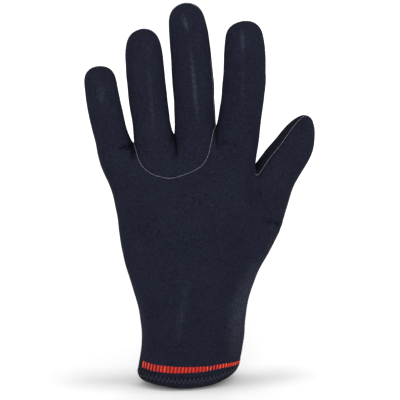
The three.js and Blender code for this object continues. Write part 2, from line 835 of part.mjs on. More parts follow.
// The hem: a bound edge with a rounded foot, just under the panels and rising with them at the sides
const hemRound = 0.3 * hemThickness;
const hemProfile = (column) => {
  const foot = skinPoints[cuffRows[0][column]].z;
  const top = skinPoints[cuffRows[1][column]].z - seamGap / 2;
  return [
    [hemProud, foot + hemRound],
    [hemProud, top],
    [hemProud - hemThickness, top],
    [hemProud - hemThickness, foot + hemRound],
    [hemProud - hemThickness + hemRound, foot],
    [hemProud - hemRound, foot],
  ];
};
const everyColumn = cuffRows[0].map((_, index) => index);
const hemSolid = sweepRound(everyColumn, hemProfile, true);

// The red band: a strip let into the back of the cuff, in a shallow wave and narrow on the thumb side
const bandStart = 0;
const bandEnd = 2 * frontPoints - 1;
const bandColumns = [];
for (let column = bandStart; column <= bandEnd; column += 1) bandColumns.push(column);
const bandShare = (column) => THREE.MathUtils.clamp((column - bandStart) / (bandEnd - bandStart), 0, 1);
const bandFoot = (column) => {
  const left = 1 - THREE.MathUtils.smoothstep(bandShare(column), 0, 0.26);
  const right = Math.exp(-(((bandShare(column) - 0.66) / 0.13) ** 2));
  return hemHeight + bandRise + bandLiftLeft * left + bandLiftRight * right;
};
const bandTop = (column) => {
  const narrow = THREE.MathUtils.smoothstep(bandShare(column), 0.15, 0.95);
  return bandFoot(column) + bandHeight * (1 - 0.57 * narrow);
};
const bandProfile = (margin, inside, outside) => (column) => [
  [outside, bandFoot(column) - margin],
  [outside, bandTop(column) + margin],
  [inside, bandTop(column) + margin],
  [inside, bandFoot(column) - margin],
];
const bandSolid = sweepRound(bandColumns, bandProfile(0, bandProud - bandThickness, bandProud), false);
const grooveDepth = bandThickness - bandProud + seamGap;
const endGap = 0.1;
const grooveColumns = [bandStart - endGap, ...bandColumns, bandEnd + endGap];
const groove = sweepRound(grooveColumns, bandProfile(seamGap, -grooveDepth, wall), false);

// Cuts a panel back wherever it comes closer than the clearance to its neighbour, and drops loose slivers.
function clearOf(solid, neighbour, clearance) {
  let cut = solid;
  for (const axis of [0, 1, 2]) {
    for (const way of [-1, 1]) {
      const step = [0, 0, 0];
      step[axis] = way * clearance;
      cut = cut.subtract(neighbour.translate(step));
    }
  }
  return cut.decompose().sort((a, b) => b.volume() - a.volume())[0];
}

const clearance = seamGap / 2;
const handSolid = handWhole.subtract(handHole).subtract(groove);
const fingerSolid = clearOf(insertSolid, handSolid, clearance);
const isPalm = (face) => face.side === 'palm_side' && face.region !== 'hem';
const palmWhole = panelSolid(skinFaces.filter(isPalm));
const palmSolid = clearOf(clearOf(palmWhole, handSolid, clearance), fingerSolid, clearance);

const cloth = new THREE.MeshStandardMaterial({ color: 0x21232f, roughness: 0.82, metalness: 0 });
const clothPalm = new THREE.MeshStandardMaterial({ color: 0x1b1d27, roughness: 0.86, metalness: 0 });
const binding = new THREE.MeshStandardMaterial({ color: 0x242733, roughness: 0.78, metalness: 0 });
const redThread = new THREE.MeshStandardMaterial({ color: 0xe23a26, roughness: 0.6, metalness: 0 });

const glove = new THREE.Group();
for (const [name, solid, material] of [
  ['hand_panel', handSolid, cloth],
  ['finger_panel', fingerSolid, cloth],
  ['palm_panel', palmSolid, clothPalm],
  ['cuff_hem', hemSolid, binding],
  ['stitch_band', bandSolid, redThread],
]) {
  const mesh = new THREE.Mesh(geometryFrom(solid), material);
  mesh.name = name;
  glove.add(mesh);
}

export default glove;
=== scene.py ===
"""A thin neoprene diving glove for the left hand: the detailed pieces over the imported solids."""
import math
from collections import namedtuple
from functools import partial

import bmesh
import bpy
import numpy as np
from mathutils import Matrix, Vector, kdtree


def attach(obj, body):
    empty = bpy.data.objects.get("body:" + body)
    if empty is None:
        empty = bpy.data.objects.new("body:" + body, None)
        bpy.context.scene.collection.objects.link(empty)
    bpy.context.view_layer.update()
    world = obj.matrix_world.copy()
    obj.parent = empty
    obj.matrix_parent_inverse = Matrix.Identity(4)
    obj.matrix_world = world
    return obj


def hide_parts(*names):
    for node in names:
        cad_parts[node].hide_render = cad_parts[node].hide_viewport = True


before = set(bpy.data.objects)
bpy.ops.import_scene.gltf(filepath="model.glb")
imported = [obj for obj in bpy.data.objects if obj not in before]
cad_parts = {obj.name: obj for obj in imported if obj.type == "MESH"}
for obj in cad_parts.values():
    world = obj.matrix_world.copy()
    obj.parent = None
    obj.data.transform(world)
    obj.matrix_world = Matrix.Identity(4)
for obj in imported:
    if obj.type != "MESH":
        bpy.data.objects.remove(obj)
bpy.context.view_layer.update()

MM = 0.001

# Sizes of the glove in millimetres, the same as the solids have
WALL = 2.0
SEAM_GAP = 0.3
CUFF_LENGTH = 34.0
WRIST_WIDTH = 66.4
WRIST_DEPTH = 41.0
CUFF_TWIST = 15.0
HEM_HEIGHT = 6.8
HEM_THICKNESS = 3.0
HEM_PROUD = 0.3
HEM_RISE = 3.0
BAND_HEIGHT = 4.35
BAND_RISE = 4.35
BAND_LIFT_LEFT = 1.1
BAND_LIFT_RIGHT = 0.8
BAR_PITCH = 2.25
PALM_LENGTH = 128.0
PALM_DEPTH = 32.0
WEB_SLOPE = 11.3
WEB_DROP = 12.0
WEB_SINK = 1.2
WEB_GAP = 1.8
INSERT_DEPTH = 25.2
FLATNESS = 0.86
BASE_SHARE = 0.96
LEFT_SHARE = 0.56
WEB_RISE = math.tan(math.radians(WEB_SLOPE))
EDGE_INSET = 1 - math.cos(math.pi / 5)

# Sections of the cuff: height, width share, depth share, shift share, tilt, twist share, rise share
CUFF_MIDDLE = 0.6 * CUFF_LENGTH
CUFF_SECTIONS = [
    (0.35, 0.905, 0.98, 0.003, 0.15, 1.0, 1.0),
    ((6 * HEM_HEIGHT - CUFF_MIDDLE) / 4, 1.005, 1.05, 0.003, 0.15, 1.0, 0.8),
    (CUFF_MIDDLE, 1.00, 1.02, 0.04, 0.05, 1.0, 0.0),
    (CUFF_LENGTH, 0.99, 1.00, 0.065, 0.0, 0.9, 0.0),
]
# Sections of the palm: up, left, right, front, back, tilt, turn, square
PALM_SECTIONS = [
    (0.165, 0.326, 0.377, 0.60, 0.62, 0.00, 0.6, 0.10),
    (0.325, 0.390, 0.478, 0.55, 0.60, 0.20, 0.3, 0.25),
    (0.490, 0.430, 0.645, 0.53, 0.60, 0.40, 0.1, 0.40),
    (0.595, 0.436, 0.505, 0.52, 0.57, 0.55, 0.0, 0.50),
    (0.700, 0.454, 0.458, 0.50, 0.53, 0.70, 0.0, 0.60),
    (0.812, 0.492, 0.425, 0.48, 0.47, 0.85, 0.0, 0.70),
]
# Sections of a finger: along, wide, deep, sway
FINGER_SECTIONS = [
    (0.11, 0.95, 0.97, 0.0),
    (0.30, 0.99, 0.95, 0.0),
    (0.54, 0.97, 0.90, 0.0),
    (0.77, 0.95, 0.85, 0.0),
    (0.93, 0.82, 0.69, 0.0),
]
THUMB_SECTIONS = [
    (0.17, 1.04, 1.00, -0.04),
    (0.33, 0.99, 0.98, -0.02),
    (0.51, 0.95, 0.93, 0.052),
    (0.70, 0.86, 0.84, 0.085),
    (0.88, 0.58, 0.66, 0.055),
]
# Where the thumb leaves the palm: across, deep, up
THUMB_ROOT = [
    (0.430, -0.25, 0.780),
    (0.440, -0.34, 0.702),
    (0.466, -0.36, 0.615),
    (0.545, -0.28, 0.530),
    (0.618, 0.08, 0.480),
    (0.574, 0.40, 0.545),
    (0.496, 0.55, 0.615),
    (0.448, 0.52, 0.720),
    (0.420, 0.34, 0.840),
    (0.424, 0.08, 0.884),
]
# Lean and curl are in degrees at the base and at the tip. Valley and web move the knuckle line's valley and
# the web on a finger's left, swell widens its base, shift moves it, and roll turns its side seams.
Finger = namedtuple("Finger", "name width length lean curl valley swell shift web roll")
FINGERS = [
    Finger("pinky", 22.0, 51.2, (-18, -4), (0, 16), 0.0, 0.0, 0.0, 0.0, 0),
    Finger("ring", 24.6, 68.8, (-8, -3), (0, 13), 1.8, 0.0, 0.0, 1.35, 0),
    Finger("middle", 25.6, 80.0, (1, -11), (0, 12), 0.9, 0.03, 0.0, 1.08, -16),
    Finger("index", 26.8, 63.2, (10.8, -7), (0, 12), 0.54, 0.03, 1.0, 0.36, 0),
]
THUMB = Finger("thumb", 28.0, 59.2, (28, 28), (16, 14), 0.0, 0.0, 0.0, 0.0, 48)
CAP_ALONG = 1.035
CAP_SPREAD = 0.42
# Folds that the solids have too: across from-to, up from-to, wide, deep
SOFT_FOLDS = [
    ((0.405, 0.415), (0.85, 0.69), 4.5, 1.1),
    ((0.415, 0.530), (0.69, 0.56), 5.0, 1.2),
    ((0.530, 0.620), (0.545, 0.53), 3.6, 1.8),
    ((-0.345, -0.440), (0.935, 0.915), 4.0, 1.0),
    ((-0.078, -0.088), (0.975, 0.885), 4.0, 0.9),
    ((0.190, 0.225), (1.000, 0.955), 4.5, 0.9),
]

COLUMNS = 3
FRONT = len(FINGERS) * COLUMNS + 1
RIGHT = FRONT
LEFT = 2 * FRONT + 1
LOOP = LEFT + 1
HALF_RING = COLUMNS + 2
RING = 2 * HALF_RING
HAND, INSERT, PALM, HEM = range(4)
REGIONS = ["palm", "pinky", "ring", "middle", "index", "thumb"]
UV_SCALE = 0.01
Face = namedtuple("Face", "corners uvs part region column")


def smoothstep(x, a, b):
    t = np.clip((x - a) / (b - a), 0, 1)
    return t * t * (3 - 2 * t)


def net_factor(count):
    return 3 / (2 + math.cos(2 * math.pi / count))


def lerp(a, b, share):
    return a + (b - a) * share


points = []
faces = []


def add_point(x, y, z):
    points.append(np.array([x, y, z], float))
    return len(points) - 1


def add_face(corners, uvs, part, region, column=0):
    faces.append(Face(corners, uvs, part, region, column))


# The knuckle line
knuckle_width = sum(f.width for f in FINGERS) * BASE_SHARE + (len(FINGERS) - 1) * WEB_GAP
left_edge = -LEFT_SHARE * knuckle_width


def web_height(x):
    return CUFF_LENGTH + PALM_LENGTH + WEB_RISE * x


spans = []
edge = left_edge
for finger in FINGERS:
    spans.append((edge, edge + finger.width * BASE_SHARE))
    edge = spans[-1][1] + WEB_GAP
right_edge = spans[-1][1]

knuckle_across = []
for index, (low, high) in enumerate(spans):
    middle, half = (low + high) / 2, (high - low) / 2
    valley_at = low - WEB_GAP / 2 + FINGERS[index].valley
    knuckle_across.append(low + half * EDGE_INSET if index == 0 else valley_at)
    for column in range(1, COLUMNS):
        knuckle_across.append(middle + (2 * column / COLUMNS - 1) * half)
knuckle_across.append(right_edge - (right_edge - spans[-1][0]) / 2 * EDGE_INSET)


def section_loop(left, right, front, back, height, slope, turn, square, rise=0.0):
    middle = (left + right) / 2
    half = (right - left) / 2 * net_factor(LOOP)
    angle = math.radians(turn)
    power = 2 + 1.6 * square

    def place(across, depth):
        x = across - middle
        tx = x * math.cos(angle) - depth * math.sin(angle)
        ty = x * math.sin(angle) + depth * math.cos(angle)
        lift = rise * float(smoothstep(np.array(abs(x) / half), 0.25, 1))
        return add_point(middle + tx, ty, height + lift + slope * (middle + tx))

    def profile(across):
        share = min(1, abs((across - middle) / half))
        return (1 - share ** power) ** (1 / power)

    def across_of(column):
        rounded = middle - half * math.cos(math.pi * (column + 1) / (FRONT + 1))
        share = (knuckle_across[column] - left_edge) / (right_edge - left_edge)
        return lerp(rounded, left + share * (right - left), square)

    loop = [place(across_of(c), -front * profile(across_of(c))) for c in range(FRONT)]
    loop.append(place(middle + half, 0))
    loop += [place(across_of(c), back * profile(across_of(c))) for c in reversed(range(FRONT))]
    loop.append(place(middle - half, 0))
    return loop


loops = []
for height, wide, deep, shift, tilt, turn, rise in CUFF_SECTIONS:
    half, move, depth = wide * WRIST_WIDTH / 2, shift * WRIST_WIDTH, deep * WRIST_DEPTH / 2
    loops.append(section_loop(move - half, move + half, depth, depth, height, tilt * WEB_RISE,
                              turn * CUFF_TWIST, 0, rise * HEM_RISE))
for up, left, right, front, back, tilt, turn, square in PALM_SECTIONS:
    loops.append(section_loop(-left * knuckle_width, right * knuckle_width, front * PALM_DEPTH,
                              back * PALM_DEPTH, CUFF_LENGTH + up * PALM_LENGTH, tilt * WEB_RISE,
                              turn * CUFF_TWIST, square))


def knuckle_loop():
    """The last loop of the hand, under the knuckles: less deep at the two ends and in the valleys."""
    front, back, side_rise = 0.47, 0.42, 0.7

    def depth_share(column):
        if column in (0, FRONT - 1):
            return 0.74
        return 0.80 if column % COLUMNS == 0 else 1

    def row(columns, depth, drop):
        return [add_point(knuckle_across[c], depth * PALM_DEPTH * depth_share(c),
                          web_height(knuckle_across[c]) - drop * WEB_DROP) for c in columns]

    loop = row(range(FRONT), -front, 1)
    loop.append(add_point(right_edge + 3, 0, web_height(right_edge) - side_rise * WEB_DROP))
    loop += row(reversed(range(FRONT)), back, 0.9)
    loop.append(add_point(left_edge + 0.4, 0, web_height(left_edge) - side_rise * WEB_DROP))
    return loop


loops.append(knuckle_loop())
top_loop = loops[-1]
root_top = len(loops) - 2
root_bottom = root_top - COLUMNS
root_places = [
    (root_top, RIGHT - 1), (root_top - 1, RIGHT - 1), (root_top - 2, RIGHT - 1), (root_bottom, RIGHT - 1),
    (root_bottom, RIGHT), (root_bottom, RIGHT + 1), (root_top - 2, RIGHT + 1), (root_top - 1, RIGHT + 1),
    (root_top, RIGHT + 1), (root_top, RIGHT),
]
thumb_ring = []
for (level, column), (across, deep, up) in zip(root_places, THUMB_ROOT):
    point = loops[level][column]
    points[point][:] = (across * knuckle_width, deep * PALM_DEPTH, CUFF_LENGTH + up * PALM_LENGTH)
    thumb_ring.append(point)


def arc_positions(indices, centre):
    """Distances along a chain of points from its centre, which may lie halfway between two of them."""
    steps = [0.0]
    for a, b in zip(indices, indices[1:]):
        steps.append(steps[-1] + float(np.linalg.norm(points[b] - points[a])))
    low = int(math.floor(centre))
    middle = lerp(steps[low], steps[min(low + 1, len(steps) - 1)], centre - low)
    return [s - middle for s in steps]


# Cloth coordinates in millimetres: across from the middle of the panel, and up
PANEL_MIDDLE = (FRONT + 1) / 2
front_arcs = []
back_arcs = []
for loop in loops:
    front_arcs.append(arc_positions([loop[LEFT]] + loop[:RIGHT + 1], PANEL_MIDDLE))
    back_arcs.append(arc_positions(loop[RIGHT:LEFT + 1], PANEL_MIDDLE))

for level in range(len(loops) - 1):
    for column in range(LOOP):
        following = (column + 1) % LOOP
        if root_bottom <= level < root_top and column in (RIGHT - 1, RIGHT):
            continue
        is_front = column == LEFT or column < RIGHT
        corners = [loops[level][column], loops[level][following],
                   loops[level + 1][following], loops[level + 1][column]]
        at = (column + 1) % LOOP if is_front else column - RIGHT
        lower, upper = (front_arcs if is_front else back_arcs)[level:level + 2]
        across = (lower[at], lower[at + 1], upper[at + 1], upper[at])
        uvs = [(u, points[corner][2]) for u, corner in zip(across, corners)]
        part = HEM if level == 0 else (HAND if is_front else PALM)
        add_face(corners, uvs, part, "palm", column)


def edges_of(corners):
    return zip(corners, corners[1:] + corners[:1])


def unit(vector):
    return vector / max(1e-12, np.linalg.norm(vector))


def add_finger(finger, base, start, sections, part, across_offset):
    """Rings of points from the base to the tip: the finger's back in one part, its front in the palm."""
    steps = 40

    def direction(share):
        tilt = math.radians(lerp(*finger.lean, share))
        bend = math.radians(lerp(*finger.curl, share))
        return np.array([math.sin(tilt) * math.cos(bend), math.sin(bend), math.cos(tilt) * math.cos(bend)])

    def centre_at(share):
        centre = np.array(start, float)
        for step in range(steps):
            centre = centre + direction((step + 0.5) / steps * share) * (finger.length * share / steps)
        return centre

    def frame_at(share):
        axis = direction(share)
        across = unit(np.cross([0, 1, 0], axis))
        return across, unit(np.cross(axis, across))

    def ring_point(section, angle):
        along, wide, deep, sway = section
        across, depth = frame_at(along)
        half_width = wide * (1 + finger.swell * (1 - along) ** 2) * finger.width * net_factor(RING) / 2
        half_depth = deep * finger.width * FLATNESS * net_factor(RING) / 2
        p = centre_at(along) + across * (sway * finger.width + half_width * math.cos(angle))
        return add_point(*(p + depth * half_depth * math.sin(angle)))

    def ring_uv(ring, heights):
        """The cloth coordinates at both ends of each edge: the back has edges 0 to 4, the front 5 to 9."""
        middle = HALF_RING / 2
        arcs = [arc_positions(half, middle) for half in (ring[:HALF_RING + 1], ring[HALF_RING:] + ring[:1])]
        out = []
        for index in range(RING):
            arc, at = arcs[index // HALF_RING], index % HALF_RING
            out.append(((across_offset + arc[at], heights[index]),
                        (across_offset + arc[at + 1], heights[(index + 1) % RING])))
        return out

    base_height = [points[i][2] for i in base]
    floor_height = sum(base_height) / len(base_height)
    ring = base
    below = ring_uv(ring, base_height)
    for section in sections:
        above_ring = [ring_point(section, math.pi + math.radians(finger.roll) + 2 * math.pi * i / RING)
                      for i in range(RING)]
        above = ring_uv(above_ring, [floor_height + section[0] * finger.length] * RING)
        for index in range(RING):
            after = (index + 1) % RING
            side = part if index < HALF_RING else PALM
            add_face([ring[index], ring[after], above_ring[after], above_ring[index]],
                     [*below[index], *reversed(above[index])], side, finger.name)
        ring, below = above_ring, above

    _, last_wide, _, last_sway = sections[-1]
    across, depth = frame_at(1)
    roll = math.radians(finger.roll)

    def cap_point(share):
        sideways = share * last_wide * finger.width / 2
        p = centre_at(CAP_ALONG) + across * (last_sway * finger.width + sideways * math.cos(roll))
        return add_point(*(p + depth * sideways * math.sin(roll)))

    place = dict(enumerate(ring))
    place["left"] = cap_point(-CAP_SPREAD)
    place["right"] = cap_point(CAP_SPREAD)
    tip = floor_height + CAP_ALONG * finger.length
    cap_across = CAP_SPREAD * last_wide * finger.width / 2
    left_uv, right_uv = (across_offset - cap_across, tip), (across_offset + cap_across, tip)
    back_uv = {k: below[k][0] for k in range(HALF_RING)}
    back_uv.update({HALF_RING: below[HALF_RING - 1][1], "left": left_uv, "right": right_uv})
    front_uv = {k: below[k][0] for k in range(HALF_RING, RING)}
    front_uv.update({0: below[RING - 1][1], "left": right_uv, "right": left_uv})
    for uv, side, faces_of_cap in (
            (back_uv, part, ((0, 1, 2, "left"), ("left", 2, 3, "right"), ("right", 3, 4, 5))),
            (front_uv, PALM, ((0, "left", 8, 9), ("left", "right", 7, 8), ("right", 5, 6, 7)))):
        for corners in faces_of_cap:
            add_face([place[c] for c in corners], [uv[c] for c in corners], side, finger.name)


webs = []
for index, finger in enumerate(FINGERS):
    last = index == len(FINGERS) - 1
    x = spans[index][1] + WEB_GAP / 2 + (0 if last else FINGERS[index + 1].web)
    webs.append(top_loop[RIGHT] if last else add_point(x, 0, web_height(x) - WEB_SINK))
    base = [top_loop[LEFT] if index == 0 else webs[index - 1]]
    base += [top_loop[index * COLUMNS + c] for c in range(COLUMNS + 1)]
    base.append(webs[index])
    base += [top_loop[LEFT - 1 - index * COLUMNS - c] for c in reversed(range(COLUMNS + 1))]
    middle = sum(spans[index]) / 2
    offset = (front_arcs[-1][index * COLUMNS + 2] + front_arcs[-1][index * COLUMNS + 3]) / 2
    add_finger(finger, base, (middle + finger.shift, 0, web_height(middle)), FINGER_SECTIONS,
               INSERT if finger.name in ("ring", "middle") else HAND, offset)

# The thumb's cloth coordinates start to the right of the hand's.
THUMB_OFFSET = 40.0
thumb_start = sum(points[p] for p in thumb_ring) / len(thumb_ring)
add_finger(THUMB, thumb_ring, thumb_start, THUMB_SECTIONS, HAND, THUMB_OFFSET)

def refined_skin(level):
    """The net as a smooth mesh, with the part, region, column and cloth coordinates of each face."""
    mesh = bpy.data.meshes.new("net")
    mesh.from_pydata([tuple(p * MM) for p in points], [], [f.corners for f in faces])
    for label, values in (("part", [f.part for f in faces]),
                          ("region", [REGIONS.index(f.region) for f in faces]),
                          ("column", [f.column for f in faces])):
        attribute = mesh.attributes.new(label, "INT", "FACE")
        attribute.data.foreach_set("value", values)
    layer = mesh.uv_layers.new(name="cloth")
    uvs = np.array([uv for f in faces for uv in f.uvs], np.float32)
    layer.data.foreach_set("uv", uvs.ravel() * UV_SCALE)
    net = bpy.data.objects.new("net", mesh)
    bpy.context.scene.collection.objects.link(net)
    modifier = net.modifiers.new("smooth", "SUBSURF")
    modifier.levels = level
    modifier.render_levels = level
    modifier.use_limit_surface = True
    bpy.context.view_layer.update()
    depsgraph = bpy.context.evaluated_depsgraph_get()
    fine = bpy.data.meshes.new_from_object(net.evaluated_get(depsgraph), depsgraph=depsgraph)
    bpy.data.objects.remove(net)
    return fine


skin = refined_skin(3)


def skin_vectors(collection, field):
    out = np.zeros(len(collection) * 3, np.float32)
    collection.foreach_get(field, out)
    return out.reshape(-1, 3).astype(float)


def bell(distance, width):
    return np.exp(-(distance / width) ** 2)


def chain_distance(p, chain):
    """Distance from points to a chain of straight pieces, and how far along it they lie, from 0 to 1."""
    chain = np.array(chain, float)
    lengths = np.linalg.norm(np.diff(chain, axis=0), axis=1)
    total = lengths.sum()
    best = np.full(len(p), 1e9)
    along = np.zeros(len(p))
    done = 0.0
    for a, b, size in zip(chain, chain[1:], lengths):
        t = np.clip(((p - a) @ (b - a)) / size ** 2, 0, 1)
        d = np.linalg.norm(p - (a + t[:, None] * (b - a)), axis=1)
        closer = d < best
        best = np.where(closer, d, best)
        along = np.where(closer, (done + t * size) / total, along)
        done += size
    return best, along


def end_fade(along):
    """Makes a mark thin out towards both ends of its chain."""
    return np.sin(np.pi * np.clip(along * 0.9 + 0.05, 0, 1)) ** 0.6


co = skin_vectors(skin.vertices, "co") / MM
normals = skin_vectors(skin.vertex_normals, "vector")
flat = co[:, [0, 2]]
facing = smoothstep(-normals[:, 1], 0, 0.5)
push = np.zeros(len(co))
for across, up, wide, deep in SOFT_FOLDS:
    ends = [(across[i] * knuckle_width, CUFF_LENGTH + up[i] * PALM_LENGTH) for i in (0, 1)]
    push += deep * bell(chain_distance(flat, ends)[0], wide)
co = co - normals * (push * facing)[:, None]

# Creases of the cloth on the back of the hand, as chains in X and Z: chain, width, depth, rolls beside it
CREASES = [
    ([(-34.6, 154.5), (-39.5, 153), (-44.5, 152)], 1.3, 0.9, 0.3),
    ([(-35.2, 148.5), (-39, 146.5), (-42, 143)], 2.2, 0.5, 0.1),
    ([(-8, 157), (-8.6, 151.5), (-8, 146.5), (-9.5, 142)], 1.3, 0.9, 0.25),
    ([(-8.2, 148), (-11, 143.5), (-13.5, 141.5)], 1.2, 0.35, 0.15),
    ([(19.5, 160), (23, 156.5), (26.5, 155)], 1.3, 0.6, 0.2),
    ([(19, 156), (21.5, 150)], 1.8, 0.45, 0.15),
    ([(40.5, 145), (40.5, 134), (40, 124), (42, 116), (47, 109), (53, 104.5)], 2.4, 0.8, 0.25),
    ([(47, 107), (53.5, 104.2), (60.5, 102.5), (66, 103.5)], 1.4, 1.3, 0.45),
    ([(50, 111.5), (56, 109), (63, 108.5)], 2, 0.55, 0.2),
    ([(-27.5, 36), (-20, 38), (-12, 37)], 2.6, 0.3, 0.1),
    ([(35.5, 39), (27, 42), (18, 41)], 2.8, 0.35, 0.12),
    ([(-26, 27.5), (-16, 25.5), (-4, 26.5)], 2.8, 0.25, 0.1),
]
flat = co[:, [0, 2]]
for chain, wide, deep, roll in CREASES:
    distance, along = chain_distance(flat, chain)
    shape = -deep * bell(distance, wide)
    shape += roll * bell(distance - 2.1 * wide, 1.1 * wide)
    co = co + normals * (shape * end_fade(along) * facing)[:, None]

# Slack of the cloth: low, wide waves that keep the surface from looking machined
SLACK_WAVES = 26
waves = np.random.default_rng(11)
slack = np.zeros(len(co))
for _ in range(SLACK_WAVES):
    wave = waves.normal(size=3) * np.array([0.9, 0.9, 0.5])
    wave = wave / np.linalg.norm(wave) * 2 * math.pi / waves.uniform(9, 30)
    slack += np.sin(co @ wave + waves.uniform(0, 2 * math.pi)) * waves.uniform(0.02, 0.055)
co = co + normals * slack[:, None]
skin.vertices.foreach_set("co", (co * MM).astype(np.float32).ravel())
skin.update()

# The curved seam under the ring and middle fingers
def nearest_vertex(target):
    return int(np.argmin(np.linalg.norm(co - np.array(target), axis=1)))


def limit_place(index):
    """Where the smooth surface passes for a point of the net, by the same rule as the refined mesh."""
    ring_faces = [f.corners for f in faces if index in f.corners]
    edges = {}
    for corners in ring_faces:
        at = corners.index(index)
        edges[corners[(at + 1) % 4]] = True
        edges[corners[(at + 3) % 4]] = True
    count = len(ring_faces)
    total = points[index] * count ** 2
    for other in edges:
        total = total + 4 * points[other]
    for corners in ring_faces:
        total = total + points[corners[(corners.index(index) + 2) % 4]]
    return total / (count * (count + 5))


web_from = co[nearest_vertex(limit_place(webs[0]))]
web_to = co[nearest_vertex(limit_place(webs[2]))]
# Its points between the two webs: share of the way across, share of the way up from its lowest place
SEAM_POINTS = [
    (0, 1), (0.015, 0.93), (0.036, 0.777), (0.059, 0.597), (0.093, 0.419), (0.156, 0.242), (0.257, 0.089),
    (0.39, 0.012), (0.452, 0.002), (0.511, 0.022), (0.634, 0.101), (0.735, 0.173), (0.826, 0.284),
    (0.871, 0.38), (0.901, 0.478), (0.92, 0.583), (0.948, 0.801), (0.96, 0.905), (0.98, 0.975), (1, 1),
]


def insert_curve(steps=240):
    low = (web_from[2] + web_to[2]) / 2 - INSERT_DEPTH
    knots = [np.array([lerp(web_from[0], web_to[0], s), lerp(low, lerp(web_from[2], web_to[2], s), u)])
             for s, u in SEAM_POINTS]
    out = []
    for step in range(steps + 1):
        t = step / steps * (len(knots) - 1)
        i = min(int(t), len(knots) - 2)
        w = t - i
        p0, p1, p2, p3 = knots[max(i - 1, 0)], knots[i], knots[i + 1], knots[min(i + 2, len(knots) - 1)]
        v0, v1 = (p2 - p0) / 2, (p3 - p1) / 2
        cube = 2 * p1 - 2 * p2 + v0 + v1
        square = -3 * p1 + 3 * p2 - 2 * v0 - v1
        out.append(cube * w ** 3 + square * w ** 2 + v0 * w + p1)
    return np.array(out)


# The seam and a wide frame over it enclose the insert.
FRAME_SIDE = 30
FRAME_RISE = 60
curve = insert_curve()
outline = list(map(tuple, curve)) + [
    (web_to[0] + FRAME_SIDE, web_to[2]), (web_to[0] + FRAME_SIDE, web_to[2] + FRAME_RISE),
    (web_from[0] - FRAME_SIDE, web_to[2] + FRAME_RISE), (web_from[0] - FRAME_SIDE, web_from[2])]


def side_of_curve(x, z):
    """Signed distance to the seam: negative inside the insert."""
    distance, _ = chain_distance(np.array([[x, z]]), curve)
    inside = False
    for (ax, az), (bx, bz) in edges_of(outline):
        if (az > z) != (bz > z) and x < (bx - ax) * (z - az) / (bz - az) + ax:
            inside = not inside
    return -distance[0] if inside else distance[0]


def cut_insert(mesh):
    """Splits the faces along the seam and gives those inside it to the insert."""
    margin = 3
    snap = 0.16
    bm = bmesh.new()
    bm.from_mesh(mesh)
    part, region, column = (bm.faces.layers.int[label] for label in ("part", "region", "column"))
    low = (curve[:, 1].min() - margin) * MM
    high = (web_to[2] + margin) * MM
    fingers_over = (REGIONS.index("ring"), REGIONS.index("middle"))
    hand = REGIONS.index("palm")
    near = [f for f in bm.faces if any(low < v.co.z < high for v in f.verts)
            and ((f[part] == HAND and f[region] == hand and COLUMNS - 1 <= f[column] <= 3 * COLUMNS)
                 or (f[part] == INSERT and f[region] in fingers_over))]
    value = {}
    for f in near:
        for v in f.verts:
            if v not in value:
                distance = side_of_curve(v.co.x / MM, v.co.z / MM)
                value[v] = 0.0 if abs(distance) < snap else distance
    edges = {e for f in near for e in f.edges}
    for e in list(edges):
        a, b = e.verts
        if a in value and b in value and value[a] * value[b] < 0:
            share = value[a] / (value[a] - value[b])
            _, new = bmesh.utils.edge_split(e, a, share)
            value[new] = 0.0
    for f in list(near):
        zeros = [v for v in f.verts if value.get(v, 1) == 0.0]
        if len(zeros) == 2 and not any(zeros[0] in e.verts and zeros[1] in e.verts for e in f.edges):
            made = bmesh.utils.face_split(f, zeros[0], zeros[1])
            near.append(made[0])
    for f in near:
        signs = [value[v] for v in f.verts if v in value and value[v] != 0.0]
        if signs:
            f[part] = INSERT if sum(signs) < 0 else HAND
    bm.normal_update()
    bm.to_mesh(mesh)
    bm.free()
    mesh.update()


cut_insert(skin)
co = skin_vectors(skin.vertices, "co") / MM
normals = skin_vectors(skin.vertex_normals, "vector")
face_corners = [tuple(p.vertices) for p in skin.polygons]
loop_start = [p.loop_start for p in skin.polygons]


def face_values(label):
    out = np.zeros(len(face_corners), int)
    skin.attributes[label].data.foreach_get("value", out)
    return out


parts = face_values("part")
regions = face_values("region")
loop_uv = np.zeros(len(skin.loops) * 2, np.float32)
skin.uv_layers["cloth"].data.foreach_get("uv", loop_uv)
loop_uv = loop_uv.reshape(-1, 2)

# Marks on the cloth, as chains in X and Z: chain, width, strength. The first table's pale marks are partly
# worn nap and partly painted highlight: sheen streaks along the finger crests and broad pools of painted
# light over the palm and wrist; the second paints shade into the creases.
PAINTED_SHEEN_AND_WEAR = [
    ([(-24.8, 222), (-24.4, 203)], 4, 0.4),
    ([(-24.2, 206), (-23.1, 189), (-21, 168), (-19.4, 157)], 1.4, 0.7),
    ([(-3.2, 235), (0.6, 225)], 1.5, 1.1),
    ([(2, 216), (4.8, 186.5), (6.9, 169)], 1.4, 1.1),
    ([(34.1, 228), (34.1, 211)], 1.6, 0.95),
    ([(34.1, 215), (34.5, 175)], 1.4, 0.6),
    ([(-53.5, 191), (-53.5, 180)], 2.8, 0.72),
    ([(0.3, 76), (-3.1, 55), (-5.3, 39), (-6.3, 27)], 3.2, 0.55),
    ([(46, 84), (39, 64), (33.5, 50), (32, 36), (31.5, 12)], 8, 1.05),
    ([(-38, 70), (-31, 45), (-28, 15)], 7, 0.7),
    ([(51, 104), (55.6, 97.6)], 1.7, 0.9),
]
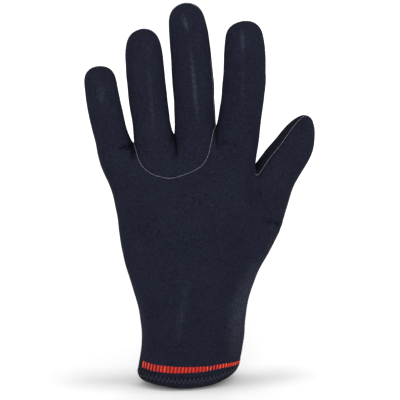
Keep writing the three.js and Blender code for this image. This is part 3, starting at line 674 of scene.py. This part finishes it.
# Painted shade: dark strokes along the creases, where the folds shade the cloth.
CREASE_SHADE = [
    ([(-43.5, 153.4), (-37.6, 153), (-32.8, 154)], 1.3, 0.95),
    ([(-33.4, 153), (-34, 149), (-34.6, 145)], 2.3, 0.8),
    ([(-8, 161), (-6.9, 154), (-6.3, 146.5)], 1.2, 1.05),
    ([(-6.4, 152), (-8.2, 148.5), (-10, 145)], 1.1, 0.75),
    ([(17.3, 166.5), (18.4, 159), (19.6, 151.5)], 1.9, 0.9),
    ([(20.2, 157.2), (23.4, 156.4)], 1.6, 0.9),
    ([(44.2, 142), (43.2, 132.4), (44, 126.3), (46.9, 120), (51.7, 110.8), (56.4, 102.5)], 2, 0.4),
    ([(54.2, 105.6), (58.2, 102)], 1.4, 0.8),
]


def marks(chains_of_marks):
    amount = np.zeros(len(co))
    for chain, wide, strength in chains_of_marks:
        distance, along = chain_distance(co[:, [0, 2]], chain)
        amount = np.maximum(amount, strength * end_fade(along) * bell(distance, wide))
    return amount * smoothstep(-normals[:, 1], -0.1, 0.35)


def painted_cloth_shade():
    """Painted shade on the cloth: darker where it turns away from the light at the sides, the tips and the
    thumb's web.
    """
    # Painted shade: the sides darken, more so higher up, and the upward-facing tips darken.
    upper = smoothstep(co[:, 2], 60, 130)
    out = 1 - (0.10 + 0.28 * upper) * (1 - smoothstep(np.abs(normals[:, 1]), 0, 0.42))
    out *= 1 - 0.20 * smoothstep(normals[:, 2], 0.3, 0.9)
    # Painted shade in the thumb's web, on the thumb's face that turns towards it.
    thumb = sorted({v for i, corners in enumerate(face_corners) for v in corners
                    if regions[i] == REGIONS.index("thumb") and parts[i] == PALM})
    lean = math.radians(THUMB.lean[0])
    towards_web = normals[thumb] @ np.array([-math.cos(lean), 0, math.sin(lean)])
    out[thumb] *= 1 - 0.40 * smoothstep(towards_web, 0.3, 0.85)
    return out


# Painted shade, painted sheen mixed with worn nap, and painted crease shade, kept per point for the cloth's
# shader.
shade_sheen_and_wear = {"painted_shade": painted_cloth_shade(), "sheen_and_wear": marks(PAINTED_SHEEN_AND_WEAR), "crease_shade": marks(CREASE_SHADE)}


# Seams: chains of edges between two parts
def edge_key(a, b):
    return min(a, b), max(a, b)


def seam_chains():
    owners = {}
    for index, corners in enumerate(face_corners):
        for a, b in edges_of(corners):
            owners.setdefault(edge_key(a, b), []).append(index)
    links = {}
    for (a, b), sides in owners.items():
        if len(sides) == 2 and parts[sides[0]] != parts[sides[1]]:
            kind = edge_key(int(parts[sides[0]]), int(parts[sides[1]]))
            links.setdefault(kind, {}).setdefault(a, []).append(b)
            links[kind].setdefault(b, []).append(a)
    chains = []
    for kind, near in links.items():
        unused = {edge_key(a, b) for a in near for b in near[a]}
        while unused:
            ends = [v for v in near if len(near[v]) != 2 and any(edge_key(v, w) in unused for w in near[v])]
            start = min(ends) if ends else min(min(e) for e in unused)
            chain = [start]
            while True:
                here = chain[-1]
                onward = [w for w in near[here] if edge_key(here, w) in unused]
                if not onward:
                    break
                step = min(onward)
                unused.discard(edge_key(here, step))
                chain.append(step)
                if len(near[step]) != 2:
                    break
            if len(chain) > 3:
                chains.append((kind, chain))
    return chains


chains = seam_chains()
seam_base = co.copy()


def resample(positions, directions, step):
    """Even points along a chain, with the directions mixed between its corners."""
    lengths = np.linalg.norm(np.diff(positions, axis=0), axis=1)
    at = np.concatenate([[0], np.cumsum(lengths)])
    count = max(2, int(round(at[-1] / step)) + 1)
    wanted = np.linspace(0, at[-1], count)
    out_p = np.stack([np.interp(wanted, at, positions[:, k]) for k in range(3)], axis=1)
    out_n = np.stack([np.interp(wanted, at, directions[:, k]) for k in range(3)], axis=1)
    return out_p, out_n / np.linalg.norm(out_n, axis=1)[:, None]


# Each seam lies in a shallow valley, with the cloth swelling a little beside it.
VALLEY_DEPTH, VALLEY_WIDTH = 0.50, 0.85
SWELL_HEIGHT, SWELL_AWAY, SWELL_WIDTH = 0.14, 2.4, 1.3
seam_points = np.concatenate([resample(seam_base[c], normals[c], 0.3)[0] for _, c in chains])
seam_tree = kdtree.KDTree(len(seam_points))
for index, p in enumerate(seam_points):
    seam_tree.insert(p, index)
seam_tree.balance()
seam_distance = np.array([seam_tree.find(p)[2] for p in co])
valley = -VALLEY_DEPTH * bell(seam_distance, VALLEY_WIDTH)
valley += SWELL_HEIGHT * bell(seam_distance - SWELL_AWAY, SWELL_WIDTH)
co = co + normals * valley[:, None]


def piece_from(name, verts, polygons, slots, materials, uvs=None, turn_out=False, sharp=None):
    """A smooth-shaded object from points in millimetres, with the material slot of each polygon."""
    mesh = bpy.data.meshes.new(name)
    mesh.from_pydata([tuple(v * MM) for v in verts], [], polygons)
    if uvs is not None:
        layer = mesh.uv_layers.new(name="cloth")
        layer.data.foreach_set("uv", np.array(uvs, np.float32).ravel())
    mesh.polygons.foreach_set("material_index", slots)
    mesh.polygons.foreach_set("use_smooth", [True] * len(polygons))
    if turn_out:
        bm = bmesh.new()
        bm.from_mesh(mesh)
        bmesh.ops.recalc_face_normals(bm, faces=bm.faces)
        bm.to_mesh(mesh)
        bm.free()
    if sharp:
        mesh.set_sharp_from_angle(angle=math.radians(sharp))
    obj = bpy.data.objects.new(name, mesh)
    bpy.context.scene.collection.objects.link(obj)
    for material in materials:
        mesh.materials.append(material)
    return obj


def shell(name, part, materials):
    """One panel as a closed wall of cloth: outer face, inner face and edges drawn back from the seams."""
    thickness, edge_back, edge_sink, sharp_angle = 1.75, 0.4, 0.12, 48
    chosen = [i for i in range(len(face_corners)) if parts[i] == part]
    rim = {}
    for i in chosen:
        for a, b in edges_of(face_corners[i]):
            if (b, a) in rim:
                del rim[(b, a)]
            else:
                rim[(a, b)] = True
    tangent = {}
    for a, b in rim:
        along = unit(seam_base[b] - seam_base[a])
        for end in (a, b):
            tangent[end] = tangent.get(end, np.zeros(3)) + along
    inward = {}
    for i in chosen:
        corners = face_corners[i]
        centre = seam_base[list(corners)].mean(axis=0)
        for corner in corners:
            if corner in tangent:
                inward[corner] = inward.get(corner, np.zeros(3)) + unit(centre - seam_base[corner])
    used = sorted({c for i in chosen for c in face_corners[i]})
    number = {c: k for k, c in enumerate(used)}
    outer = co[used].copy()
    for c in tangent:
        n, t = normals[c], unit(tangent[c])
        move = inward[c] - n * (inward[c] @ n)
        move = unit(move - t * (move @ t))
        outer[number[c]] += move * SEAM_GAP * edge_back - n * edge_sink
    count = len(used)
    polygons, uvs, slots = [], [], []
    for i in chosen:
        ids = [number[c] for c in face_corners[i]]
        uv = [tuple(loop_uv[loop_start[i] + k]) for k in range(len(ids))]
        polygons += [ids, [k + count for k in reversed(ids)]]
        uvs += uv + uv[::-1]
        slots += [0, 1]
    for a, b in rim:
        ka, kb = number[a], number[b]
        polygons.append([ka, ka + count, kb + count, kb])
        uvs += [(0.0, 0.0), (0.02, 0.0), (0.02, 0.01), (0.0, 0.01)]
        slots.append(0)
    verts = np.concatenate([outer, outer - normals[used] * thickness])
    panel = piece_from(name, verts, polygons, slots, materials, uvs, sharp=sharp_angle)
    # The painted shade, sheen and crease shade go on the panel as point values.
    for label, values in shade_sheen_and_wear.items():
        layer = panel.data.attributes.new(label, "FLOAT", "POINT")
        layer.data.foreach_set("value", np.tile(values[used], 2).astype(np.float32))
    return panel


def tubes(name, paths, ups, radius, sides, materials, kinds=None, flatten=1.0):
    """Round threads along paths of points, closed at both ends, as one mesh."""
    end_taper = 0.55
    verts, polygons, slots = [], [], []
    for number, path in enumerate(paths):
        path = np.array(path, float)
        tangents = np.gradient(path, axis=0)
        tangents /= np.linalg.norm(tangents, axis=1)[:, None]
        first = len(verts)
        count = len(path)
        for k in range(count):
            side = unit(np.cross(tangents[k], ups[number]))
            top = unit(np.cross(side, tangents[k]))
            taper = end_taper if k in (0, count - 1) else 1.0
            for j in range(sides):
                angle = 2 * math.pi * j / sides
                away = side * math.cos(angle) + top * flatten * math.sin(angle)
                verts.append(path[k] + radius * taper * away)
        for k in range(count - 1):
            for j in range(sides):
                after = (j + 1) % sides
                a = first + k * sides
                polygons.append([a + j, a + after, a + sides + after, a + sides + j])
        polygons.append([first + j for j in reversed(range(sides))])
        polygons.append([first + (count - 1) * sides + j for j in range(sides)])
        slots += [kinds[number] if kinds else 0] * ((count - 1) * sides + 2)
    return piece_from(name, verts, polygons, slots, materials, turn_out=True)


# Materials
def rgb(r, g, b):
    """A colour as seen on screen, from 0 to 255, as the shader takes it."""
    return tuple(((v / 255) / 12.92 if v / 255 <= 0.04045 else ((v / 255 + 0.055) / 1.055) ** 2.4)
                 for v in (r, g, b)) + (1.0,)


def nodes_of(name):
    material = bpy.data.materials.new(name)
    material.use_nodes = True
    tree = material.node_tree
    shader = tree.nodes["Principled BSDF"]
    return material, tree, shader


def plug(tree, value, socket):
    if isinstance(value, bpy.types.NodeSocket):
        tree.links.new(value, socket)
    else:
        socket.default_value = value


def add_node(tree, kind, inputs=None, **settings):
    """A node with its settings and its inputs, which are values or the outputs of other nodes."""
    node = tree.nodes.new("ShaderNode" + kind)
    for key, value in settings.items():
        setattr(node, key, value)
    for key, value in (inputs or {}).items():
        plug(tree, value, node.inputs[key])
    return node


def math_node(tree, operation, *values):
    return add_node(tree, "Math", dict(enumerate(values)), operation=operation).outputs[0]


def noise(tree, vector, **inputs):
    return add_node(tree, "TexNoise", {"Vector": vector, **inputs}).outputs["Fac"]


def colour_ramp(tree, value, *stops):
    """Mixes two colours by a value: each stop is a position and a colour."""
    ramp = add_node(tree, "ValToRGB", {0: value})
    for element, (position, colour) in zip(ramp.color_ramp.elements, stops):
        element.position = position
        element.color = colour
    return ramp.outputs[0]


def bump_from(tree, height, strength, distance, **more):
    inputs = {"Height": height, "Strength": strength, "Distance": distance, **more}
    return add_node(tree, "Bump", inputs).outputs[0]


def scaled_colour(tree, colour, factor):
    return add_node(tree, "VectorMath", {0: colour, "Scale": factor}, operation="SCALE").outputs[0]


def marked_colour(tree, colour, grain):
    """The cloth's colour with its painted shade, painted shade in the creases and a pale speckled mix of
    painted sheen and worn nap.
    """
    crease_shade_strength, sheen_and_nap_strength = 0.72, 0.17
    calc = partial(math_node, tree)

    def mark(label):
        return add_node(tree, "Attribute", attribute_name=label).outputs["Fac"]

    def spread(value, low, high, **more):
        return {"Value": value, "From Min": low, "From Max": high, **more}

    def amount(label, low, high):
        inputs = spread(mark(label), low, high)
        return add_node(tree, "MapRange", inputs, interpolation_type="SMOOTHSTEP").outputs[0]

    # Painted highlight: the pale marks, broken up by the yarn, are part painted sheen and part worn nap.
    speckle = add_node(tree, "MapRange", spread(grain, 0.40, 0.62, **{"To Min": 0.45, "To Max": 1.5}))
    sheen_and_wear = calc("MULTIPLY", amount("sheen_and_wear", 0.1, 1.3), speckle.outputs[0])
    # Painted shade: the creases darken, and the tone attribute darkens the sides, tips and thumb's web.
    darker = calc("SUBTRACT", 1.0, calc("MULTIPLY", amount("crease_shade", 0.15, 0.9), crease_shade_strength))
    plain = scaled_colour(tree, colour, calc("MULTIPLY", mark("painted_shade"), darker))
    # Painted sheen: a pale grey added where the pale marks are.
    sheen_and_nap = scaled_colour(tree, rgb(74, 78, 90)[:3], calc("MULTIPLY", sheen_and_wear, sheen_and_nap_strength))
    return add_node(tree, "VectorMath", {0: plain, 1: sheen_and_nap}, operation="ADD").outputs[0]


# What the mottled colour of the knit is made of: yarn, wider patches and the loops
YARN_SHARE, PATCH_SHARE, LOOP_SHARE = 0.78, 0.22, 0.08
KNIT_BUMP, FUZZ_BUMP, THREAD_BUMP = 0.00014, 0.0002, 0.0001


def cloth_material(name, dark, light, wale, course, bump, roughness, with_painted_light=False):
    """Knit jersey over foam: rows of small loops and a mottled yarn colour, and, when asked, painted shade
    and sheen.
    """
    material, tree, shader = nodes_of(name)
    calc = partial(math_node, tree)
    uv = add_node(tree, "UVMap", uv_map="cloth").outputs[0]
    split = add_node(tree, "SeparateXYZ", {0: uv})
    wobble = noise(tree, uv, Scale=28.0, Detail=2.0)
    shift = calc("MULTIPLY", calc("SUBTRACT", wobble, 0.5), 0.9)
    across = calc("ADD", calc("MULTIPLY", split.outputs["X"], 100 / wale), shift)
    up = calc("ADD", calc("MULTIPLY", split.outputs["Y"], 100 / course), shift)
    fold = calc("PINGPONG", across, 0.5)
    row = calc("SINE", calc("MULTIPLY", calc("ADD", up, calc("MULTIPLY", fold, 1.1)), 2 * math.pi))
    column = calc("SINE", calc("MULTIPLY", fold, 2 * math.pi))
    loops_height = calc("ADD", calc("MULTIPLY", row, 0.3), calc("MULTIPLY", column, 0.7))
    place = add_node(tree, "TexCoord").outputs["Object"]
    yarn = noise(tree, place, Scale=900.0, Detail=3.0, Roughness=0.65)
    patch = noise(tree, place, Scale=46.0, Detail=3.0, Roughness=0.55)
    mottled = calc("ADD", calc("MULTIPLY", yarn, YARN_SHARE), calc("MULTIPLY", patch, PATCH_SHARE))
    mottled = calc("ADD", mottled, calc("MULTIPLY", loops_height, LOOP_SHARE))
    colour = colour_ramp(tree, mottled, (0.36, dark), (0.66, light))
    # Painted shade and sheen go into the colour here.
    if with_painted_light:
        colour = marked_colour(tree, colour, yarn)
    plug(tree, colour, shader.inputs["Base Color"])
    knit = bump_from(tree, loops_height, bump, KNIT_BUMP)
    plug(tree, bump_from(tree, yarn, 0.35, FUZZ_BUMP, Normal=knit), shader.inputs["Normal"])
    plug(tree, calc("ADD", calc("MULTIPLY", patch, 0.14), roughness - 0.07), shader.inputs["Roughness"])
    shader.inputs["Specular IOR Level"].default_value = 0.05
    return material


def thread_material(name, dark, light, scale=1500.0, roughness=0.7, sheen=0.02):
    """Twisted thread: a fine streaked colour with a satin surface."""
    material, tree, shader = nodes_of(name)
    place = add_node(tree, "TexCoord").outputs["Object"]
    strands = noise(tree, place, Scale=scale, Detail=3.0, Roughness=0.6)
    plug(tree, colour_ramp(tree, strands, (0.35, dark), (0.65, light)), shader.inputs["Base Color"])
    plug(tree, bump_from(tree, strands, 0.5, THREAD_BUMP), shader.inputs["Normal"])
    shader.inputs["Roughness"].default_value = roughness
    shader.inputs["Specular IOR Level"].default_value = 0.15
    shader.inputs["Sheen Weight"].default_value = sheen
    return material


jersey = partial(cloth_material, wale=0.78, course=0.62, bump=0.55, with_painted_light=True)
satin = partial(thread_material, scale=1300.0, sheen=0.0)
cloth = jersey("jersey_back", rgb(9, 11, 20), rgb(26, 28, 42), roughness=0.82)
palm_cloth = jersey("jersey_palm", rgb(10, 11, 19), rgb(25, 27, 40), roughness=0.85)
lining = cloth_material("lining", rgb(22, 24, 30), rgb(46, 48, 56), 0.9, 0.9, 0.5, 0.9)
binding = cloth_material("binding", rgb(10, 11, 18), rgb(27, 29, 40), 0.6, 0.5, 0.7, 0.8)
seam_thread = thread_material("seam_thread", rgb(74, 77, 90), rgb(130, 133, 146))
dark_thread = thread_material("dark_thread", rgb(20, 22, 34), rgb(38, 41, 56))
hem_thread = thread_material("hem_thread", rgb(29, 32, 41), rgb(54, 58, 70))
red_ground = satin("red_ground", rgb(74, 12, 16), rgb(112, 18, 22), roughness=0.8)
red_thread = satin("red_thread", rgb(158, 35, 27), rgb(203, 53, 37))
# Painted highlight: a paler satin for the strands that stand in for the band's glints.
pale_thread = satin("pale_thread", rgb(190, 56, 36), rgb(226, 98, 62))

hand = shell("hand_cloth", HAND, [cloth, lining])
insert = shell("finger_cloth", INSERT, [cloth, lining])
palm = shell("palm_cloth", PALM, [palm_cloth, lining])


# The cuff's surface is a regular net of cubic pieces, so it has a formula.
CUFF_ROWS = len(CUFF_SECTIONS) - 1
cuff_net = np.array([[points[i] for i in loop] for loop in loops[:CUFF_ROWS + 2]])
cuff_net = np.concatenate([2 * cuff_net[:1] - cuff_net[1:2], cuff_net])


def cubic(t):
    """The weights of four points in a row for a place between the two in the middle."""
    inner = (3 * t ** 3 - 6 * t ** 2 + 4, -3 * t ** 3 + 3 * t ** 2 + 3 * t + 1)
    return np.array([(1 - t) ** 3, *inner, t ** 3]) / 6


def net_at(column, row):
    j = int(min(max(row, 0.0), CUFF_ROWS - 0.001))
    i = int(math.floor(column))
    columns = [(i - 1 + k) % LOOP for k in range(4)]
    return np.einsum("r,c,rcx->x", cubic(row - j), cubic(column - i), cuff_net[j:j + 4][:, columns])


ROWS = np.linspace(0, CUFF_ROWS - 0.01, 120)
HALF_COLUMNS = np.arange(-2, 2 * LOOP + 3) / 2
ROW_HEIGHTS = np.array([[net_at(column, row)[2] for row in ROWS] for column in HALF_COLUMNS])


def heights_at(column):
    at = (column % LOOP + 1) * 2
    low = int(math.floor(at))
    return lerp(ROW_HEIGHTS[low], ROW_HEIGHTS[low + 1], at - low)


def cuff_edge(column):
    """How high the cuff's lower edge lies on a column: the hem rises at the two sides."""
    return float(heights_at(column)[0])


def panel_edge(column):
    """How high the panels start on a column, just over the hem."""
    return float(np.interp(1.0, ROWS, heights_at(column)))


def cuff_point(column, height, out=0.0):
    """A point of the cuff's surface and its level normal, on a column of the net at a height."""
    heights = heights_at(column)
    row = float(np.interp(height, heights, ROWS))
    if height < heights[0]:
        row = (height - heights[0]) / (heights[1] - heights[0]) * (ROWS[1] - ROWS[0])
    p = net_at(column, row)
    along = net_at(column + 0.02, row) - net_at(column - 0.02, row)
    normal = unit(np.array([along[1], -along[0], 0.0]))
    return p + normal * out, normal


def even_columns(start, end, step, height):
    """Column positions a given distance apart round the cuff."""
    fine = np.linspace(start, end, 600)
    p = np.array([cuff_point(c, height)[0] for c in fine])
    at = np.concatenate([[0], np.cumsum(np.linalg.norm(np.diff(p, axis=0), axis=1))])
    count = max(2, int(round(at[-1] / step)) + 1)
    return np.interp(np.linspace(0, at[-1], count), at, fine)


def ring_piece(name, columns, profile, closed, material):
    """Sweeps a closed profile of (out, height) round the cuff."""
    rings = [[cuff_point(column, height, out)[0] for out, height in profile(column)] for column in columns]
    count = len(rings[0])
    polygons, uvs = [], []
    spread = 0.0
    for i in range(len(rings) if closed else len(rings) - 1):
        n = (i + 1) % len(rings)
        step = float(np.linalg.norm(rings[n][0] - rings[i][0]))
        run = 0.0
        for j in range(count):
            k = (j + 1) % count
            rise = float(np.linalg.norm(rings[i][k] - rings[i][j]))
            polygons.append([i * count + j, n * count + j, n * count + k, i * count + k])
            uvs += [(spread, run), (spread + step, run), (spread + step, run + rise), (spread, run + rise)]
            run += rise
        spread += step
    if not closed:
        polygons.append(list(reversed(range(count))))
        polygons.append([(len(rings) - 1) * count + j for j in range(count)])
        uvs += [(0, 0)] * (2 * count)
    return piece_from(name, [p for ring in rings for p in ring], polygons, [0] * len(polygons), [material],
                      np.array(uvs, np.float32) * UV_SCALE, turn_out=True, sharp=50)


# The hem: a folded binding, full at its foot, drawn in a little where the zigzag holds it. Its section
# runs down the outer face and up the inner one: how far out of the face, how high over its foot or top.
OUTER_TOP = [(-0.55, 0.0), (-0.18, -0.25), (-0.10, -0.9), (-0.06, -1.8), (0.0, -2.7)]
OUTER_FOOT = [(0.08, 3.0), (0.06, 2.0), (-0.05, 1.2), (-0.32, 0.55), (-0.78, 0.14), (-1.35, 0.02)]
INNER_FOOT = [(1.0, 0.02), (0.5, 0.18), (0.12, 0.6), (0.0, 1.3)]
INNER_TOP = [(0.0, -0.6), (0.2, 0.0)]
hem_columns = even_columns(0, LOOP, 0.8, 3.0)[:-1]
hem_wave = np.random.default_rng(5)
hem_phases = hem_wave.uniform(0, 2 * math.pi, 6)


def hem_profile(column):
    turn = 2 * math.pi * column / LOOP
    ripple = sum(math.sin((5 + 3 * k) * turn + hem_phases[k]) for k in range(6)) * 0.025
    full = HEM_PROUD + 0.10 + ripple
    inside = HEM_PROUD - HEM_THICKNESS + 0.2
    foot = cuff_edge(column)
    top = panel_edge(column) - 0.12
    return [(side + out, level + up)
            for side, level, rows in ((full, top, OUTER_TOP), (full, foot, OUTER_FOOT),
                                      (inside, foot, INNER_FOOT), (inside, top, INNER_TOP))
            for out, up in rows]


hem = ring_piece("hem_binding", hem_columns, hem_profile, True, binding)
# The red band: a ground strip and upright satin threads in bundles, with the dark ground between them
BAND_START, BAND_END = 0.1, 12.5
BAND_MIDDLE = 13.0
BAR_SINK, BAR_RADIUS, STRAND_GAP = 0.25, 0.25, 0.42
BAR_SHARES = (0, 0.06, 0.2, 0.5, 0.8, 0.94, 1)


def band_span(column):
    share = np.clip((column - BAND_START) / (BAND_END - BAND_START), 0, 1)
    low = HEM_HEIGHT + BAND_RISE + BAND_LIFT_LEFT * (1 - float(smoothstep(share, 0, 0.26)))
    low += BAND_LIFT_RIGHT * bell(share - 0.66, 0.13)
    return low, low + BAND_HEIGHT * (1 - 0.57 * float(smoothstep(share, 0.15, 0.95)))


def ground_profile(column):
    low, high = band_span(column)
    return [(-0.6, low), (0.02, low), (0.10, lerp(low, high, 0.25)), (0.10, lerp(low, high, 0.75)),
            (0.02, high), (-0.6, high)]


def band_threads():
    """Bars of three threads each; now and then the middle one is pale, a painted highlight on the satin."""
    bars = even_columns(BAND_START + 0.09, BAND_END - 0.09, BAR_PITCH, BAND_MIDDLE)
    jitter = np.random.default_rng(23)
    paths, kinds, ups = [], [], []
    for bar, pitch in zip(bars, np.gradient(bars)):
        drop = jitter.uniform(-0.12, 0.12)
        lean = jitter.uniform(-0.015, 0.015)
        # Painted highlight: about one bar in three gets a pale middle strand.
        pale = jitter.uniform(0, 1) < 0.3
        for strand in (-1, 0, 1):
            column = bar + strand * pitch * STRAND_GAP / BAR_PITCH
            low, high = band_span(column)
            low += drop - jitter.uniform(0.0, 0.12)
            high += drop + jitter.uniform(0.0, 0.12)
            reach = 0.22 if strand else 0.30
            path = []
            for share in BAR_SHARES:
                bow = math.sin(math.pi * share) ** 0.35 if 0 < share < 1 else 0
                at = column + lean * (share - 0.5) * 2
                path.append(cuff_point(at, lerp(low, high, share), lerp(-BAR_SINK, reach, bow))[0])
            paths.append(path)
            kinds.append(1 if pale and strand == 0 else 0)
            ups.append(cuff_point(column, BAND_MIDDLE)[1])
    return tubes("band_threads", paths, ups, BAR_RADIUS, 6, [red_thread, pale_thread], kinds)


ground_columns = even_columns(BAND_START, BAND_END, 0.9, BAND_MIDDLE)
ground = ring_piece("band_ground", ground_columns, ground_profile, False, red_ground)
band = band_threads()


def hem_stitches():
    """A zigzag over the hem's upper edge."""
    step, bottom, top, middle, radius = 1.32, 3.5, 7.2, 6.0, 0.17
    columns = even_columns(0, LOOP, step, middle)
    columns = columns[:-1] if len(columns) % 2 else columns[:-2]
    paths, ups = [], []
    for k, a in enumerate(columns):
        b = columns[(k + 1) % len(columns)]
        if b < a:
            b += LOOP
        base = cuff_edge((a + b) / 2)
        low, high = (base + bottom, base + top) if k % 2 == 0 else (base + top, base + bottom)
        path = []
        for share in (0, 0.12, 0.35, 0.65, 0.88, 1):
            height = lerp(low, high, share)
            proud = HEM_PROUD if height < base + HEM_HEIGHT - 0.2 else 0.05
            out = proud + (-0.1 if share in (0, 1) else 0.16)
            path.append(cuff_point(lerp(a, b, share), height, out)[0])
        paths.append(path)
        ups.append(cuff_point((a + b) / 2, middle)[1])
    return tubes("hem_stitches", paths, ups, radius, 6, [hem_thread], flatten=0.8)


zigzag = hem_stitches()

# Seam stitches: small slanted legs of thread that bridge each seam, turned under at the thumb's crotch.
# The thread is pale on the curved seam, on the middle finger's right and on the thumb's upper side.
STITCH_STEP, STITCH_HALF, STITCH_RADIUS = 1.05, 0.25, 0.10
STITCH_SINK, CROTCH_CLEAR = (0.34, 0.12), 1.2
crotch = [limit_place(thumb_ring[0]), limit_place(thumb_ring[-1])]
thumb_lean = math.radians(THUMB.lean[0])


def is_pale(kind, place):
    if kind == (HAND, INSERT):
        return True
    if kind == (INSERT, PALM):
        return place[0] > (web_from[0] + web_to[0]) / 2 + 6 and place[2] < web_to[2] + 42
    from_web = place - crotch[0]
    on_thumb = from_web[0] > 0 and from_web[2] > -14 and from_web[0] > 0.3 * from_web[2]
    along = place - thumb_start
    return on_thumb and along[0] * math.cos(thumb_lean) < along[2] * math.sin(thumb_lean)


def stitch_legs():
    """The paths and upward directions of the dark legs and of the pale ones."""
    legs = {False: ([], []), True: ([], [])}
    jitter = np.random.default_rng(31)
    deep, shallow = STITCH_SINK
    for kind, chain in chains:
        if HEM in kind:
            continue
        place, up = resample(seam_base[chain], normals[chain], STITCH_STEP / 2)
        tangents = np.gradient(place, axis=0)
        tangents /= np.linalg.norm(tangents, axis=1)[:, None]
        across = np.cross(up, tangents)
        across /= np.linalg.norm(across, axis=1)[:, None]
        for k in range(1, len(place) - 2):
            if chain_distance(place[k:k + 1], crotch)[0][0] < CROTCH_CLEAR:
                continue
            way = 1 if k % 2 == 0 else -1
            a = place[k] + across[k] * STITCH_HALF * way
            b = place[k + 1] - across[k + 1] * STITCH_HALF * way
            n = unit(up[k] + up[k + 1])
            rise = jitter.uniform(-0.05, 0.03)
            paths, ups = legs[bool(is_pale(kind, place[k]))]
            middle = (a + b) / 2 + n * rise
            paths.append([a - n * deep, a - n * shallow, middle, b - n * shallow, b - n * deep])
            ups.append(n)
    return legs


legs = stitch_legs()
stitches = tubes("seam_stitches", *legs[True], STITCH_RADIUS, 5, [seam_thread])
side_stitches = tubes("side_stitches", *legs[False], STITCH_RADIUS, 5, [dark_thread])

for piece in (hand, insert, palm, hem, ground, band, zigzag, stitches, side_stitches):
    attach(piece, "root")
for piece, node in ((hand, "hand_panel"), (insert, "finger_panel"), (palm, "palm_panel"), (hem, "cuff_hem"),
                    (ground, "stitch_band")):
    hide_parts(node)
bpy.data.meshes.remove(skin)


# Studio: a pale floor with painted shade round the glove's foot, soft light and the camera at the
# photograph's angle
def studio():
    material, tree, shader = nodes_of("floor")
    place = add_node(tree, "TexCoord").outputs["Object"]
    spread = add_node(tree, "TexGradient", {"Vector": place}, gradient_type="SPHERICAL")
    # Painted shade: the floor is darker near the glove's foot and pale further out.
    far, near = (0.93, 0.93, 0.935, 1), (0.66, 0.66, 0.665, 1)
    shaded_floor = colour_ramp(tree, spread.outputs[0], (0, far), (0.85, near))
    plug(tree, shaded_floor, shader.inputs["Base Color"])
    shader.inputs["Roughness"].default_value = 0.9
    shader.inputs["Specular IOR Level"].default_value = 0.1
    bpy.ops.mesh.primitive_plane_add(size=12, location=(0, 0, -0.0006))
    floor = bpy.context.object
    floor.name = "floor"
    floor.data.materials.append(material)
    world = bpy.data.worlds.new("studio")
    bpy.context.scene.world = world
    world.use_nodes = True
    sky = world.node_tree.nodes["Background"]
    sky.inputs["Color"].default_value = (1, 1, 1, 1)
    sky.inputs["Strength"].default_value = 1.05

    def area(name, place, target, size, power):
        data = bpy.data.lights.new(name, "AREA")
        data.shape = "RECTANGLE"
        data.size, data.size_y = size
        data.energy = power
        lamp = bpy.data.objects.new(name, data)
        lamp.location = place
        lamp.rotation_euler = (Vector(target) - Vector(place)).to_track_quat("-Z", "Y").to_euler()
        bpy.context.scene.collection.objects.link(lamp)

    area("key", (-0.15, -1.65, 0.45), (0, 0, 0.12), (0.8, 0.8), 16)
    area("side", (1.3, -0.9, 0.3), (0, 0, 0.08), (0.5, 0.8), 4)
    area("top", (0.10, 0.0, 1.6), (0, 0, 0.1), (0.3, 0.3), 10)
    area("back", (0.5, 1.7, 0.6), (0, 0, 0.12), (0.8, 0.8), 7)
    bpy.context.scene.view_settings.view_transform = "Standard"


studio()

# The camera looks at a point beside the glove's axis, which is at this height and place in the picture.
CAMERA_DISTANCE = 1.3
CAMERA_LIFT = 12.0
PIXELS_PER_MM = 1.589
PICTURE_SIZE = 400
AIM_HEIGHT = 0.120
AIM_COLUMN, AIM_ROW = 187.5, 196.9
SENSOR_WIDTH = 36
pixel = MM / PIXELS_PER_MM
camera_data = bpy.data.cameras.new("camera")
camera = bpy.data.objects.new("camera", camera_data)
bpy.context.scene.collection.objects.link(camera)
bpy.context.scene.camera = camera
lift = math.radians(CAMERA_LIFT)
look = Vector((0, math.cos(lift), -math.sin(lift)))
rightward = Vector((1, 0, 0))
upward = rightward.cross(look)
aim = Vector((0, 0, AIM_HEIGHT))
aim += rightward * (PICTURE_SIZE / 2 - AIM_COLUMN) * pixel
aim += upward * (AIM_ROW - PICTURE_SIZE / 2) * pixel
camera.location = aim - look * CAMERA_DISTANCE
camera.rotation_euler = look.to_track_quat("-Z", "Y").to_euler()
camera_data.sensor_width = SENSOR_WIDTH
camera_data.lens = SENSOR_WIDTH * CAMERA_DISTANCE / (PICTURE_SIZE * pixel)
